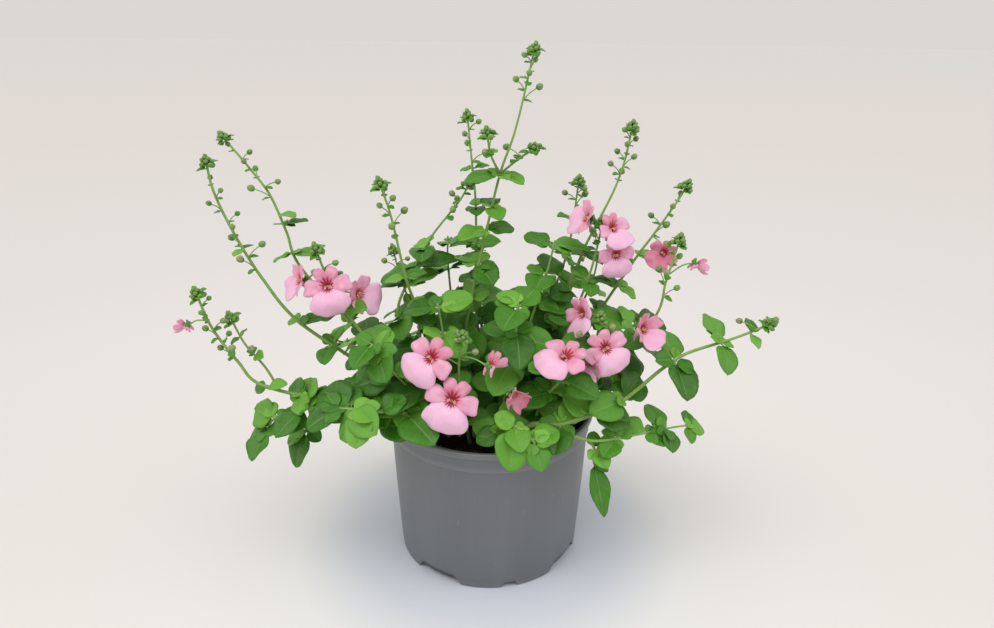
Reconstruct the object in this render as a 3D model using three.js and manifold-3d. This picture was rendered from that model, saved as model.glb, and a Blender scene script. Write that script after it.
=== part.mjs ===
// A twinspur (Diascia) in bloom, growing in a round plastic nursery pot.
// Millimetres, +Z up. The origin is the middle of the pot's flat underside, and -Y is the front.
import * as THREE from "three";
import { mergeVertices } from "three/addons/utils/BufferGeometryUtils.js";
import Module from "manifold-3d";

const wasm = await Module();
wasm.setup();

// ---- Driving dimensions, in millimetres and degrees ----

const POT_HEIGHT = 90;
const RIM_RADIUS = 60;
const BASE_RADIUS = 53.2;
const WALL = 1.3;
const LIP_HEIGHT = 3.4;
const LIP_DEPTH = 1.6;
const SHOULDER_DROP = 12.5; // from the rim's top down to the step in the wall
const SHOULDER_STEP = 0.7;
const FOOT_HEIGHT = 7.5; // the floor's underside stands this high on the foot ring
const PAD_RADIUS = 13; // flat middle of the floor, which touches the ground
const PAD_SLOPE = 6;
const POT_SIDES = 32;

const WIDE_NOTCH = { count: 4, first: -123, width: 31, top: 20, height: 6.4 };
const NARROW_NOTCH = { count: 4, first: -77, width: 10, top: 6, height: 3.2 };
const HOLE_RADIUS = 4; // drainage holes in the floor
const HOLE_CIRCLE = 38;
const HOLE_COUNT = 4;

const FINEST = 0.15; // detail smaller than this is left out of a piece
const GAP = 0.35; // between pieces that rest on or pass each other
const MIX_EDGE_DROP = 9; // from the rim's top down to the potting mix at the wall
const MIX_CROWN = 2.5; // how much higher the mix is in the middle
const MIX_SIDES = 20;

const STEM_RADIUS = 1.1;
const TWIG_RADIUS = 0.8;
const SPIKE_RADIUS = 0.65; // the bare top of a shoot that carries buds
const PEDICEL_RADIUS = 0.45;
const CURVE_TENSION = 0.5;
const STEM_SIDES = 4;
const PEDICEL_SIDES = 3;
const STEM_STEP = 26;
const SPIKE_STEP = 20;

const LEAF_THICKNESS = 0.8;
const LEAST_LEAF = 13; // shorter leaves are too small to matter here
const SHORTENED = [1, 0.85, 0.7, 0.55]; // what is tried for a leaf that meets a neighbour
const LEAF_WIDTH = 0.84; // of its blade's length
const LEAF_WIDEST = 0.4; // how far along its blade a leaf is widest
const LEAF_TIP_WIDTH = 0.3; // of its greatest width
const PETIOLE_SHARE = 0.16; // of the blade's length, added in front of it
const PETIOLE_HALF_WIDTH = 0.5;

const LEAF_TILT = 38; // how far a low leaf's face leans outwards from straight up
const LEAST_TILT = 0.3; // share of that lean that the highest leaves keep
const TILT_TOP = 205; // height at which the lean would reach nothing
const TILT_RANGE = 65; // how far below that height leaves lean fully
const LEAF_DROOP = 0.8; // how fully a leaf swings round to lie across the light
const LEAN_ACROSS = 0.6; // leaves lean more to the front and rear than to the sides
const LEAN_CENTRE = 30;

const QUARTER_TURN = 90; // from one leaf pair to the next
const HALF_TURN = 180; // between the two leaves of a pair
const TURN_SPREAD = 14; // how unevenly leaves are turned, tilted, raised and sized
const TILT_SPREAD = 14;
const LEAF_RISE = 12;
const RISE_SPREAD = 16;
const SIZE_SPREAD = 0.1;
const KEYS = { shoot: 5, twig: 11, pair: 3, side: 7 };
const TWIG_SPAN = [0.5, 1];
const TWIG_TURN = 45;

const BUD_TIP_LENGTH = 4; // half length of the tight cluster at a spike's end
const BUD_TIP_RADIUS = 2.5;

const PETAL_THICKNESS = 0.9;
const LIP_SPREAD = 0.3; // how much wider than it is long the lower petal is drawn
const CLOSED_WIDTH = 0.45; // of its open width, for a flower that is fully closed
const SPUR_LENGTH = 7;
const SPUR_RADIUS = 1.3;
const SPUR_SIDES = 5;
const SPUR_ROOT = 1.6; // from the flower's middle out to each spur's root and end
const SPUR_END = 2.6;
const SPUR_FALL = 0.35; // of its length
const FULL_FLOWER = 14; // flowers at least this large have spurs of full length
const CALYX_RISE = 0.2; // of the flower's size, above its middle

// ---- The plant ----

// Each shoot is one grown piece: a stem with its side twigs, leaf pairs and bud spike.
// route: from inside the potting mix to the tip. turn: azimuth of its lowest leaf pair.
// pairs: how many pairs, span: where along the stem they sit, leaf: first and last length.
// spike: the share of the stem at its end that is a bare bud spike, buds: how many it holds.
// single: leaves that stand by themselves, each as along, azimuth, rise, length.
// thick: the stem's thickness against that of the others.
// A twig's end leaves are each azimuth, rise, length, and width against that of the others.
const SHOOTS = [
  {
    name: "centre_tall", turn: 20, pairs: 5, span: [0.2, 0.56], leaf: [20, 15], spike: 0.12, buds: 5,
    route: [[-4, 3, 70], [-14, 0, 125], [-10, 2, 157], [-4, 6, 185], [4, 9, 220], [12, 10, 244],
      [21, 12, 284]],
    single: [[0.7, 200, 14, 17], [0.7, -32, -22, 13], [0.62, 100, 20, 12], [0.62, 285, 5, 12],
      [0.93, 165, 10, 4]],
    twigs: [
      { from: 0.7, route: [[14, 7, 229], [23, 5, 235]], pairs: 2, leaf: [5, 4] },
      { from: 0.7, route: [[-1, 7, 231], [-3, 5, 243]], pairs: 2, leaf: [6, 4] },
    ],
  },
  {
    name: "centre_rear", turn: 80, pairs: 6, span: [0.25, 0.84], leaf: [19, 8], spike: 0.14, buds: 4,
    route: [[2, 16, 70], [-8, 22, 130], [-9, 22, 198], [-11, 26, 220], [-14, 30, 249]],
    single: [],
  },
  {
    name: "left_arching", turn: 80, pairs: 5, span: [0.2, 0.72], leaf: [20, 14], spike: 0.14, buds: 4,
    route: [[-16, 10, 70], [-38, 8, 102], [-53, 10, 138], [-46, 16, 160], [-34, 18, 183],
      [-18, 16, 204], [-12, 15, 215]],
    single: [[0.65, 188, -2, 19], [0.65, 5, 8, 22]],
  },
  {
    name: "left_slender", turn: 110, pairs: 4, span: [0.25, 0.66], leaf: [18, 10], spike: 0.18, buds: 5,
    route: [[-20, -5, 70], [-37, -9, 120], [-40, -10, 149], [-45, -14, 169], [-51, -18, 203],
      [-56, -20, 221]],
    single: [],
  },
  {
    name: "left_upper_front", turn: 75, pairs: 4, span: [0.2, 0.52], leaf: [18, 10], spike: 0.3, buds: 8,
    route: [[-31, -9, 70], [-64, -13, 112], [-103, -15, 144], [-121, -12, 167], [-134, -10, 191],
      [-142, -10, 213],
      [-144, -10, 229]],
    single: [[0.76, 250, 20, 7], [0.76, 60, 20, 6]],
  },
  {
    name: "left_upper_rear", turn: 60, pairs: 4, span: [0.18, 0.5], leaf: [20, 12], spike: 0.2, buds: 6,
    route: [[-28, 14, 70], [-70, 18, 116], [-108, 20, 162], [-116, 22, 184], [-124, 25, 204],
      [-134, 27, 218],
      [-149, 30, 236]],
    single: [[0.64, 185, -8, 11], [0.64, -10, -18, 13], [0.72, 10, 8, 12], [0.75, -25, 24, 10],
      [0.72, 120, 10, 9]],
  },
  {
    name: "left_outer", turn: 95, pairs: 4, span: [0.3, 0.62], leaf: [20, 9], spike: 0.24, buds: 8,
    route: [[-36, -18, 70], [-56, -25, 102], [-90, -32, 107], [-121, -34, 116], [-132, -32, 128],
      [-144, -30, 146],
      [-150, -30, 166]],
    single: [],
    twigs: [{ from: 0.58, route: [[-120, -26, 122], [-131, -22, 134], [-138, -20, 149]], pairs: 3,
      leaf: [7, 4] }],
  },
  {
    name: "left_low", turn: 60, pairs: 4, span: [0.42, 0.9], leaf: [17, 19], spike: 0, buds: 0,
    route: [[-35, -27, 70], [-52, -36, 104], [-88, -42, 107], [-112, -36, 99], [-121, -30, 88]],
    single: [[1, 250, -50, 17], [1, 165, -35, 15]],
  },
  {
    name: "left_hanging", turn: 40, pairs: 2, span: [0.5, 0.82], leaf: [16, 15], spike: 0, buds: 0,
    route: [[-43, -4, 70], [-61, -10, 101], [-88, -16, 94], [-103, -19, 81]],
    single: [[1, 262, -76, 19], [1, 180, -40, 13], [1, 20, -50, 9]],
  },
  {
    name: "left_middle", turn: 85, pairs: 4, span: [0.28, 0.74], leaf: [21, 13], spike: 0.16, buds: 4,
    route: [[-26, -16, 70], [-52, -23, 118], [-76, -21, 152], [-86, -18, 172], [-91, -16, 186]],
    single: [],
  },
  {
    name: "front_left", turn: 30, pairs: 4, span: [0.4, 0.92], leaf: [22, 20], spike: 0, buds: 0,
    route: [[-24, -35, 70], [-39, -48, 105], [-60, -55, 112], [-76, -52, 112]],
    single: [[1, 200, -10, 17], [0.85, 270, -50, 17]],
  },
  {
    name: "front_left_upper", turn: 0, pairs: 4, span: [0.4, 0.95], leaf: [22, 18], spike: 0, buds: 0,
    route: [[-16, -25, 70], [-38, -37, 110], [-54, -40, 132], [-60, -40, 142]],
    single: [[1, 240, 25, 15]],
  },
  {
    name: "front_flowering", turn: 190, pairs: 2, span: [0.35, 0.62], leaf: [16, 12], spike: 0.14,
      buds: 3,
    route: [[-9, -31, 70], [-14, -41, 106], [-16, -45, 130], [-14, -46, 150]],
    single: [],
  },
  {
    name: "front_centre", turn: 60, pairs: 5, span: [0.3, 0.98], leaf: [19, 16], spike: 0, buds: 0,
    route: [[3, -25, 70], [8, -32, 110], [12, -34, 140], [14, -33, 162]],
    single: [[0.85, -80, -35, 19], [1, 150, 40, 12]],
  },
  {
    name: "front_draping", turn: 200, pairs: 3, span: [0.55, 0.98], leaf: [14, 13], spike: 0, buds: 0,
    route: [[2, -43, 70], [6, -54, 102], [14, -63, 108], [22, -67, 102]],
    single: [[0.8, 250, -55, 19], [1, -70, -50, 13], [0.55, 225, 15, 12]],
  },
  {
    name: "front_right", turn: 45, pairs: 5, span: [0.35, 0.98], leaf: [17, 17], spike: 0, buds: 0,
    route: [[17, -23, 70], [28, -35, 108], [36, -42, 124], [38, -44, 138]],
    single: [],
  },
  {
    name: "right_front", turn: 10, pairs: 3, span: [0.35, 0.75], leaf: [20, 15], spike: 0.15, buds: 3,
    route: [[25, -17, 70], [44, -26, 112], [54, -31, 140], [56, -33, 156]],
    single: [],
  },
  {
    name: "right_long", thick: 1.3, turn: 70, pairs: 3, span: [0.3, 0.5], leaf: [15, 20],
      spike: 0.05, buds: 2,
    route: [[9, -37, 70], [19, -50, 101], [38, -50, 103], [65, -42, 110], [77, -38, 117], [89, -35, 127],
      [102, -32, 135], [124, -28, 141], [134, -26, 144], [148, -25, 150]],
    single: [[0.69, 95, 42, 20], [0.69, -75, -30, 20], [0.84, 110, 45, 17], [0.84, -80, -25, 16],
      [0.93, 60, 30, 10], [0.93, -60, -10, 9]],
  },
  {
    name: "right_low", turn: 60, pairs: 2, span: [0.62, 0.78], leaf: [12, 12], spike: 0, buds: 0,
    route: [[21, -31, 70], [32, -50, 97], [53, -55, 96], [70, -46, 93], [84, -39, 92],
      [97, -34, 92], [107, -31, 92]],
    single: [[0.86, 90, 55, 15], [0.9, -90, -50, 12], [1, 0, 10, 11], [1, -70, -30, 9], [1, 70, 30, 9]],
    twigs: [{ from: 0.47, route: [[54, -54, 91], [54, -52, 84]], pairs: 1, leaf: [10, 10],
      end: [[-95, -84, 26, 0.45]] }],
  },
  {
    name: "right_flowering", turn: 30, pairs: 4, span: [0.25, 0.75], leaf: [19, 12], spike: 0.1, buds: 4,
    route: [[19, -3, 70], [38, -5, 124], [52, -8, 168], [58, -9, 200]],
    single: [],
  },
  {
    name: "right_tall", turn: 60, pairs: 4, span: [0.25, 0.62], leaf: [20, 14], spike: 0.16, buds: 7,
    route: [[14, 6, 70], [33, 6, 125], [49, 7, 175], [56, 9, 191], [66, 12, 212], [71, 14, 228],
      [74, 15, 246]],
    single: [[0.71, 180, 12, 13], [0.71, -5, 6, 12]],
  },
  {
    name: "right_rear", turn: 15, pairs: 5, span: [0.25, 0.85], leaf: [20, 10], spike: 0.1, buds: 4,
    route: [[9, 20, 70], [28, 26, 125], [44, 31, 170], [49, 31, 214]],
    single: [],
  },
  {
    name: "right_upper", turn: 70, pairs: 4, span: [0.25, 0.6], leaf: [20, 12], spike: 0.2, buds: 4,
    route: [[27, 9, 70], [54, 9, 128], [79, 7, 174], [87, 8, 186], [100, 10, 206], [105, 10, 216]],
    single: [[0.68, 150, 10, 17], [0.72, 20, 15, 12]],
  },
  {
    name: "right_middle", turn: 40, pairs: 3, span: [0.3, 0.6], leaf: [19, 12], spike: 0.22, buds: 5,
    route: [[30, -7, 70], [60, -14, 112], [86, -21, 150], [91, -20, 171], [96, -20, 194]],
    single: [],
  },
  {
    name: "right_inner", turn: 95, pairs: 4, span: [0.4, 0.97], leaf: [21, 22], spike: 0, buds: 0,
    route: [[38, -1, 70], [60, -1, 106], [74, -3, 130], [80, -6, 142]],
    single: [],
  },
  {
    name: "centre_right", turn: 70, pairs: 6, span: [0.3, 0.98], leaf: [19, 16], spike: 0, buds: 0,
    route: [[6, -6, 70], [18, -4, 126], [30, -1, 168], [34, 1, 186]],
    single: [],
  },
  {
    name: "centre_left", turn: 10, pairs: 5, span: [0.35, 0.97], leaf: [20, 16], spike: 0, buds: 0,
    route: [[-9, -12, 70], [-22, -20, 118], [-26, -22, 146], [-28, -22, 158]],
    single: [],
  },
  {
    name: "back_left", turn: 20, pairs: 4, span: [0.35, 0.8], leaf: [21, 15], spike: 0.12, buds: 4,
    route: [[-20, 27, 70], [-42, 46, 112], [-56, 58, 142], [-62, 62, 164]],
    single: [],
  },
  {
    name: "back_centre", turn: 60, pairs: 4, span: [0.35, 0.8], leaf: [21, 14], spike: 0.12, buds: 4,
    route: [[-3, 35, 70], [-6, 55, 116], [-8, 68, 144], [-8, 74, 164]],
    single: [],
  },
  {
    name: "back_right", turn: 100, pairs: 4, span: [0.35, 0.8], leaf: [21, 15], spike: 0.12, buds: 4,
    route: [[19, 31, 70], [38, 48, 114], [52, 60, 142], [58, 64, 164]],
    single: [],
  },
  {
    name: "back_left_low", turn: 45, pairs: 4, span: [0.45, 0.95], leaf: [20, 17], spike: 0, buds: 0,
    route: [[-36, 22, 70], [-54, 34, 102], [-78, 48, 108], [-98, 58, 100]],
    single: [[1, 150, -30, 15]],
  },
  {
    name: "back_right_low", turn: 80, pairs: 4, span: [0.45, 0.95], leaf: [20, 17], spike: 0, buds: 0,
    route: [[36, 21, 70], [54, 34, 102], [78, 44, 110], [98, 52, 104]],
    single: [[1, 30, -30, 15]],
  },
  {
    name: "back_low", turn: 30, pairs: 3, span: [0.5, 0.95], leaf: [19, 17], spike: 0, buds: 0,
    route: [[8, 45, 70], [11, 61, 103], [14, 78, 106], [16, 90, 98]],
    single: [[1, 80, -40, 15]],
  },
  {
    name: "rear_left_upper", turn: 90, pairs: 5, span: [0.35, 0.97], leaf: [20, 14], spike: 0, buds: 0,
    route: [[-12, 24, 70], [-22, 36, 124], [-26, 40, 160], [-26, 40, 178]],
    single: [],
  },
  {
    name: "rear_right_upper", turn: 0, pairs: 5, span: [0.35, 0.97], leaf: [20, 14], spike: 0, buds: 0,
    route: [[26, 20, 70], [46, 30, 120], [60, 36, 150], [64, 38, 170]],
    single: [],
  },
];

// Each flower: the shoot that bears it and where, the middle of its face, the azimuth and
// rise of the way it faces, how far it is spun about that, its lower petal's length, and
// how far it is open from 0 to 1.
const FLOWERS = [
  { name: "front_low", shoot: "front_flowering", along: 0.66, at: [-19, -63, 122], face: [-92, 22],
    spin: -18, size: 16, open: 1 },
  { name: "front_high", shoot: "front_flowering", along: 0.8, at: [-30, -54, 141],
    face: [-105, 30], spin: -38, size: 15, open: 1 },
  { name: "front_turned", shoot: "front_flowering", along: 0.86, at: [1, -52, 137], face: [50, 20],
    spin: 0, size: 10, open: 0.1 },
  { name: "front_faded", shoot: "front_centre", along: 0.5, at: [12, -58, 123], face: [-60, -20],
    spin: 50, size: 9, open: 0.4 },
  { name: "front_right", shoot: "front_right", along: 0.97, at: [36, -54, 143], face: [-112, 60],
    spin: -38, size: 15, open: 0.9 },
  { name: "left_middle", shoot: "left_middle", along: 0.84, at: [-84, -27, 168], face: [-95, 20],
    spin: 12, size: 15, open: 1 },
  { name: "left_outer", shoot: "left_middle", along: 0.9, at: [-101, -17, 168], face: [-150, 20],
    spin: -30, size: 12, open: 0.7 },
  { name: "left_inner", shoot: "left_middle", along: 0.8, at: [-69, -15, 160], face: [-35, 15],
    spin: 55, size: 13, open: 0.7 },
  { name: "right_upper", shoot: "right_front", along: 0.95, at: [47, -26, 154], face: [-150, 10],
    spin: 25, size: 13, open: 0.7 },
  { name: "right_open", shoot: "right_front", along: 0.86, at: [59, -41, 141], face: [-80, 18],
    spin: 28, size: 14, open: 1 },
  { name: "right_lower", shoot: "right_front", along: 0.78, at: [50, -38, 132], face: [-130, -10],
    spin: -15, size: 13, open: 0.6 },
  { name: "right_outer", shoot: "right_middle", along: 0.66, at: [80, -29, 147], face: [-50, 20],
    spin: 15, size: 13, open: 0.5 },
  { name: "rear_top", shoot: "right_flowering", along: 0.97, at: [48, -12, 202], face: [-165, 25],
    spin: -60, size: 12, open: 0.7 },
  { name: "rear_side", shoot: "right_flowering", along: 0.93, at: [63, -14, 197], face: [-60, 30],
    spin: 10, size: 12, open: 0.8 },
  { name: "rear_low", shoot: "right_flowering", along: 0.86, at: [65, -16, 183], face: [-75, 0],
    spin: 5, size: 12, open: 0.9 },
  { name: "right_salmon", shoot: "right_upper", along: 0.8, at: [93, 0, 180], face: [-100, 10],
    spin: -40, size: 11, open: 0.6 },
  { name: "right_bud", shoot: "right_middle", along: 0.86, at: [107, -18, 179], face: [10, -10],
    spin: 0, size: 8, open: 0.1 },
  { name: "left_bud", shoot: "left_outer", along: 0.9, at: [-158, -30, 147], face: [170, 0],
    spin: 0, size: 7, open: 0.1 },
];

// Angle of each lobe's middle, its reach against the lower lobe's, and its half width.
const LOBES = [
  { angle: -90, reach: 1, half: 84 },
  { angle: 2, reach: 0.84, half: 44 },
  { angle: 178, reach: 0.84, half: 44 },
  { angle: 62, reach: 0.74, half: 36 },
  { angle: 118, reach: 0.74, half: 36 },
];
const THROAT_REACH = 0.45;
const LOBE_BLUNTNESS = 3;
const COROLLA_POINTS = 14;

const COLOURS = {
  pot: { color: 0x7d8084, roughness: 0.55, metalness: 0 },
  mix: { color: 0x2a221d, roughness: 0.95, metalness: 0 },
  shoot: { color: 0x4c8f3a, roughness: 0.6, metalness: 0 },
  petal: { color: 0xee9fc0, roughness: 0.6, metalness: 0 },
};

// ---- Small helpers ----

const radians = THREE.MathUtils.degToRad;
const UP = new THREE.Vector3(0, 0, 1);

function vector(place) {
  return new THREE.Vector3(place[0], place[1], place[2]);
}

// A smooth, repeatable variation between -1 and 1 for the k-th thing.
function wobble(k) {
  return Math.sin(k * 2.4);
}

function direction(azimuth, rise) {
  const level = Math.cos(radians(rise));
  return new THREE.Vector3(
    Math.cos(radians(azimuth)) * level,
    Math.sin(radians(azimuth)) * level,
    Math.sin(radians(rise)),
  );
}

function solidOf(geometry) {
  const bare = geometry.clone();
  bare.deleteAttribute("normal");
  bare.deleteAttribute("uv");
  const merged = mergeVertices(bare, 1e-5);
  const mesh = new wasm.Mesh({
    numProp: 3,
    vertProperties: new Float32Array(merged.attributes.position.array),
    triVerts: new Uint32Array(merged.index.array),
  });
  return new wasm.Manifold(mesh);
}

function geometryOf(solid) {
  const mesh = largest(solid.simplify(FINEST)).getMesh();
  const geometry = new THREE.BufferGeometry();
  geometry.setAttribute("position", new THREE.BufferAttribute(new Float32Array(mesh.vertProperties), 3));
  geometry.setIndex(new THREE.BufferAttribute(new Uint32Array(mesh.triVerts), 1));
  geometry.computeVertexNormals();
  return geometry;
}

function joined(solids) {
  return solids.reduce((sum, next) => sum.add(next));
}

// The largest body that is left once a solid has been trimmed by its neighbours.
function largest(solid) {
  const bodies = solid.decompose();
  return bodies.reduce((best, next) => (next.volume() > best.volume() ? next : best));
}

function polygon(radius, sides) {
  const points = [];
  for (let side = 0; side < sides; side += 1) {
    const angle = (2 * Math.PI * side) / sides;
    points.push(new THREE.Vector2(radius * Math.cos(angle), radius * Math.sin(angle)));
  }
  return new THREE.Shape(points);
}

// Straight stretches between the given points, with one ring of a tube at each.
class Stretches extends THREE.Curve {
  constructor(points) {
    super();
    this.points = points;
  }

  getPoint(share, target = new THREE.Vector3()) {
    const place = THREE.MathUtils.clamp(share, 0, 1) * (this.points.length - 1);
    const start = Math.min(Math.floor(place), this.points.length - 2);
    return target.lerpVectors(this.points[start], this.points[start + 1], place - start);
  }

  getPointAt(share, target) {
    return this.getPoint(share, target);
  }

  getTangentAt(share, target) {
    return this.getTangent(share, target);
  }
}

// A round tube through the points. Grown, it is thicker and longer by that much all round.
function tube(points, radius, sides, grown = 0) {
  const line = points.map((point) => point.clone());
  const last = line.length - 1;
  const head = line[0].clone().sub(line[1]).setLength(grown);
  const tail = line[last].clone().sub(line[last - 1]).setLength(grown);
  line[0].add(head);
  line[last].add(tail);
  const geometry = new THREE.ExtrudeGeometry(polygon(radius + grown, sides), {
    steps: last,
    bevelEnabled: false,
    extrudePath: new Stretches(line),
  });
  return solidOf(geometry);
}

// ---- Pot ----

function potSection() {
  const outside = (height) => {
    const wallTop = RIM_RADIUS - LIP_DEPTH;
    return BASE_RADIUS + ((wallTop - BASE_RADIUS) * height) / (POT_HEIGHT - LIP_HEIGHT);
  };
  const shoulder = POT_HEIGHT - SHOULDER_DROP;
  const lipFoot = POT_HEIGHT - LIP_HEIGHT;
  const floor = FOOT_HEIGHT + WALL;
  return [
    [0, 0],
    [PAD_RADIUS, 0],
    [PAD_RADIUS + PAD_SLOPE, FOOT_HEIGHT],
    [outside(FOOT_HEIGHT) - WALL, FOOT_HEIGHT],
    [outside(0) - WALL, 0],
    [outside(0), 0],
    [outside(shoulder) - SHOULDER_STEP, shoulder],
    [outside(shoulder), shoulder + SHOULDER_STEP],
    [outside(lipFoot), lipFoot],
    [RIM_RADIUS, lipFoot],
    [RIM_RADIUS, POT_HEIGHT],
    [outside(lipFoot) - WALL, POT_HEIGHT],
    [outside(floor) - WALL - SHOULDER_STEP, floor],
    [PAD_RADIUS + PAD_SLOPE - WALL, floor],
    [PAD_RADIUS - WALL, WALL],
    [0, WALL],
  ];
}

function lathed(section, sides) {
  const profile = section.map(([radius, height]) => new THREE.Vector2(radius, height));
  const geometry = new THREE.LatheGeometry(profile, sides);
  geometry.rotateX(Math.PI / 2);
  return solidOf(geometry);
}

// A tapered block that cuts one notch up into the foot ring, at each place around it.
function notches(notch) {
  const cuts = [];
  const reach = 12;
  const outward = 3;
  const below = 1;
  const slope = (notch.width - notch.top) / (2 * notch.height);
  const outline = new THREE.Shape([
    new THREE.Vector2(-notch.width / 2 - slope * below, -below),
    new THREE.Vector2(notch.width / 2 + slope * below, -below),
    new THREE.Vector2(notch.top / 2, notch.height),
    new THREE.Vector2(-notch.top / 2, notch.height),
  ]);
  for (let index = 0; index < notch.count; index += 1) {
    const block = new THREE.ExtrudeGeometry(outline, { depth: reach, bevelEnabled: false });
    block.rotateX(Math.PI / 2);
    block.translate(0, -BASE_RADIUS + reach - outward, 0);
    block.rotateZ(radians(notch.first + QUARTER_TURN + (360 * index) / notch.count));
    cuts.push(solidOf(block));
  }
  return cuts;
}

function drainageHoles() {
  const cuts = [];
  for (let index = 0; index < HOLE_COUNT; index += 1) {
    const hole = new THREE.CylinderGeometry(HOLE_RADIUS, HOLE_RADIUS, 4 * WALL, 12);
    hole.rotateX(Math.PI / 2);
    hole.translate(HOLE_CIRCLE, 0, FOOT_HEIGHT + WALL / 2);
    hole.rotateZ(radians(WIDE_NOTCH.first + (360 * index) / HOLE_COUNT));
    cuts.push(solidOf(hole));
  }
  return cuts;
}

function pot() {
  const cuts = [...notches(WIDE_NOTCH), ...notches(NARROW_NOTCH), ...drainageHoles()];
  return lathed(potSection(), POT_SIDES).subtract(joined(cuts));
}

// ---- Potting mix: fills the pot to just below the rim, a little higher in the middle ----

function mixSection() {
  const inner = (height) => {
    const bottom = potSection().at(-4);
    const top = potSection().at(-5);
    return bottom[0] + ((top[0] - bottom[0]) * (height - bottom[1])) / (top[1] - bottom[1]);
  };
  const surface = POT_HEIGHT - MIX_EDGE_DROP;
  const floor = FOOT_HEIGHT + WALL + GAP;
  return [
    [0, WALL + GAP],
    [PAD_RADIUS - WALL - 2 * GAP, WALL + GAP],
    [PAD_RADIUS + PAD_SLOPE - WALL - 2 * GAP, floor],
    [inner(floor) - 2 * GAP, floor],
    [inner(surface) - 2 * GAP, surface],
    [inner(surface) / 2, surface + 0.7 * MIX_CROWN],
    [0, surface + MIX_CROWN],
  ];
}

// ---- Stems ----

function curveThrough(points) {
  return new THREE.CatmullRomCurve3(points, false, "catmullrom", CURVE_TENSION);
}

function stemCurve(route) {
  return curveThrough(route.map(vector));
}

function stretch(curve, from, to, step) {
  const steps = Math.max(2, Math.ceil((curve.getLength() * (to - from)) / step));
  const points = [];
  for (let index = 0; index <= steps; index += 1) {
    points.push(curve.getPointAt(from + ((to - from) * index) / steps));
  }
  return points;
}

function twigCurve(stem, twig) {
  return curveThrough([stem.getPointAt(twig.from), ...twig.route.map(vector)]);
}

function stemTubes(shoot, grown = 0) {
  const stem = stemCurve(shoot.route);
  const bare = 1 - shoot.spike;
  const radius = STEM_RADIUS * (shoot.thick ?? 1);
  const tubes = [tube(stretch(stem, 0, bare, STEM_STEP), radius, STEM_SIDES, grown)];
  if (shoot.spike > 0) {
    tubes.push(tube(stretch(stem, bare, 1, SPIKE_STEP), SPIKE_RADIUS, STEM_SIDES, grown));
  }
  for (const twig of shoot.twigs ?? []) {
    tubes.push(tube(stretch(twigCurve(stem, twig), 0, 1, SPIKE_STEP), TWIG_RADIUS, STEM_SIDES, grown));
  }
  return tubes;
}

// ---- Leaves ----

// A broad blade on a short stalk, lying along X from its stem, with its face up.
function leafOutline(leaf, grown) {
  const petiole = PETIOLE_SHARE * leaf.length;
  const half = (LEAF_WIDTH * leaf.length * (leaf.width ?? 1)) / 2;
  const widest = petiole + LEAF_WIDEST * leaf.length;
  const tip = petiole + leaf.length + grown;
  const neck = PETIOLE_HALF_WIDTH + grown;
  return new THREE.Shape([
    new THREE.Vector2(0, -neck),
    new THREE.Vector2(widest, -half - grown),
    new THREE.Vector2(tip, -LEAF_TIP_WIDTH * half),
    new THREE.Vector2(tip, LEAF_TIP_WIDTH * half),
    new THREE.Vector2(widest, half + grown),
    new THREE.Vector2(0, neck),
  ]);
}

// A leaf faces up and outwards from the plant's rear, and less outwards the higher it stands.
function leafPlace(leaf) {
  const lean = new THREE.Vector3(LEAN_ACROSS * leaf.base.x, leaf.base.y - LEAN_CENTRE, 0).normalize();
  const low = THREE.MathUtils.clamp((TILT_TOP - leaf.base.z) / TILT_RANGE, LEAST_TILT, 1);
  const tilt = radians(LEAF_TILT * low + leaf.tilt);
  const light = lean.multiplyScalar(Math.sin(tilt)).addScaledVector(UP, Math.cos(tilt));
  const along = direction(leaf.azimuth, leaf.rise);
  along.addScaledVector(light, -along.dot(light) * LEAF_DROOP).normalize();
  const face = light.addScaledVector(along, -along.dot(light)).normalize();
  const side = new THREE.Vector3().crossVectors(face, along);
  return new THREE.Matrix4().makeBasis(along, side, face).setPosition(leaf.base);
}

function leafSolid(leaf, grown = 0) {
  const thickness = LEAF_THICKNESS + 2 * grown;
  const geometry = new THREE.ExtrudeGeometry(leafOutline(leaf, grown), {
    depth: thickness,
    bevelEnabled: false,
  });
  geometry.translate(0, 0, -thickness / 2);
  geometry.applyMatrix4(leafPlace(leaf));
  return solidOf(geometry);
}

// Pairs stand opposite each other, each pair a quarter turn on from the one below it.
function leafPairs(curve, plan, seed) {
  const leaves = [];
  for (let pair = 0; pair < plan.pairs; pair += 1) {
    const share = plan.pairs > 1 ? pair / (plan.pairs - 1) : 0;
    const along = plan.span[0] + (plan.span[1] - plan.span[0]) * share;
    for (let side = 0; side < 2; side += 1) {
      const key = seed + KEYS.pair * pair + KEYS.side * side;
      const length = plan.leaf[0] + (plan.leaf[1] - plan.leaf[0]) * share;
      leaves.push({
        base: curve.getPointAt(along),
        azimuth: plan.turn + QUARTER_TURN * pair + HALF_TURN * side + TURN_SPREAD * wobble(key),
        rise: LEAF_RISE + RISE_SPREAD * wobble(key + 1),
        tilt: TILT_SPREAD * wobble(key + 2),
        length: length * (1 + SIZE_SPREAD * wobble(key + 3)),
      });
    }
  }
  return leaves;
}

function leavesOf(shoot, seed) {
  const stem = stemCurve(shoot.route);
  const leaves = leafPairs(stem, shoot, seed);
  for (const [along, azimuth, rise, length] of shoot.single) {
    leaves.push({ base: stem.getPointAt(along), azimuth, rise, tilt: 0, length });
  }
  (shoot.twigs ?? []).forEach((twig, index) => {
    const curve = twigCurve(stem, twig);
    const plan = { ...twig, span: TWIG_SPAN, turn: shoot.turn + TWIG_TURN };
    leaves.push(...leafPairs(curve, plan, seed + KEYS.twig * (index + 1)));
    for (const [azimuth, rise, length, width] of twig.end ?? []) {
      leaves.push({ base: curve.getPointAt(1), azimuth, rise, tilt: 0, length, width });
    }
  });
  return leaves;
}

// ---- Buds ----

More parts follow.
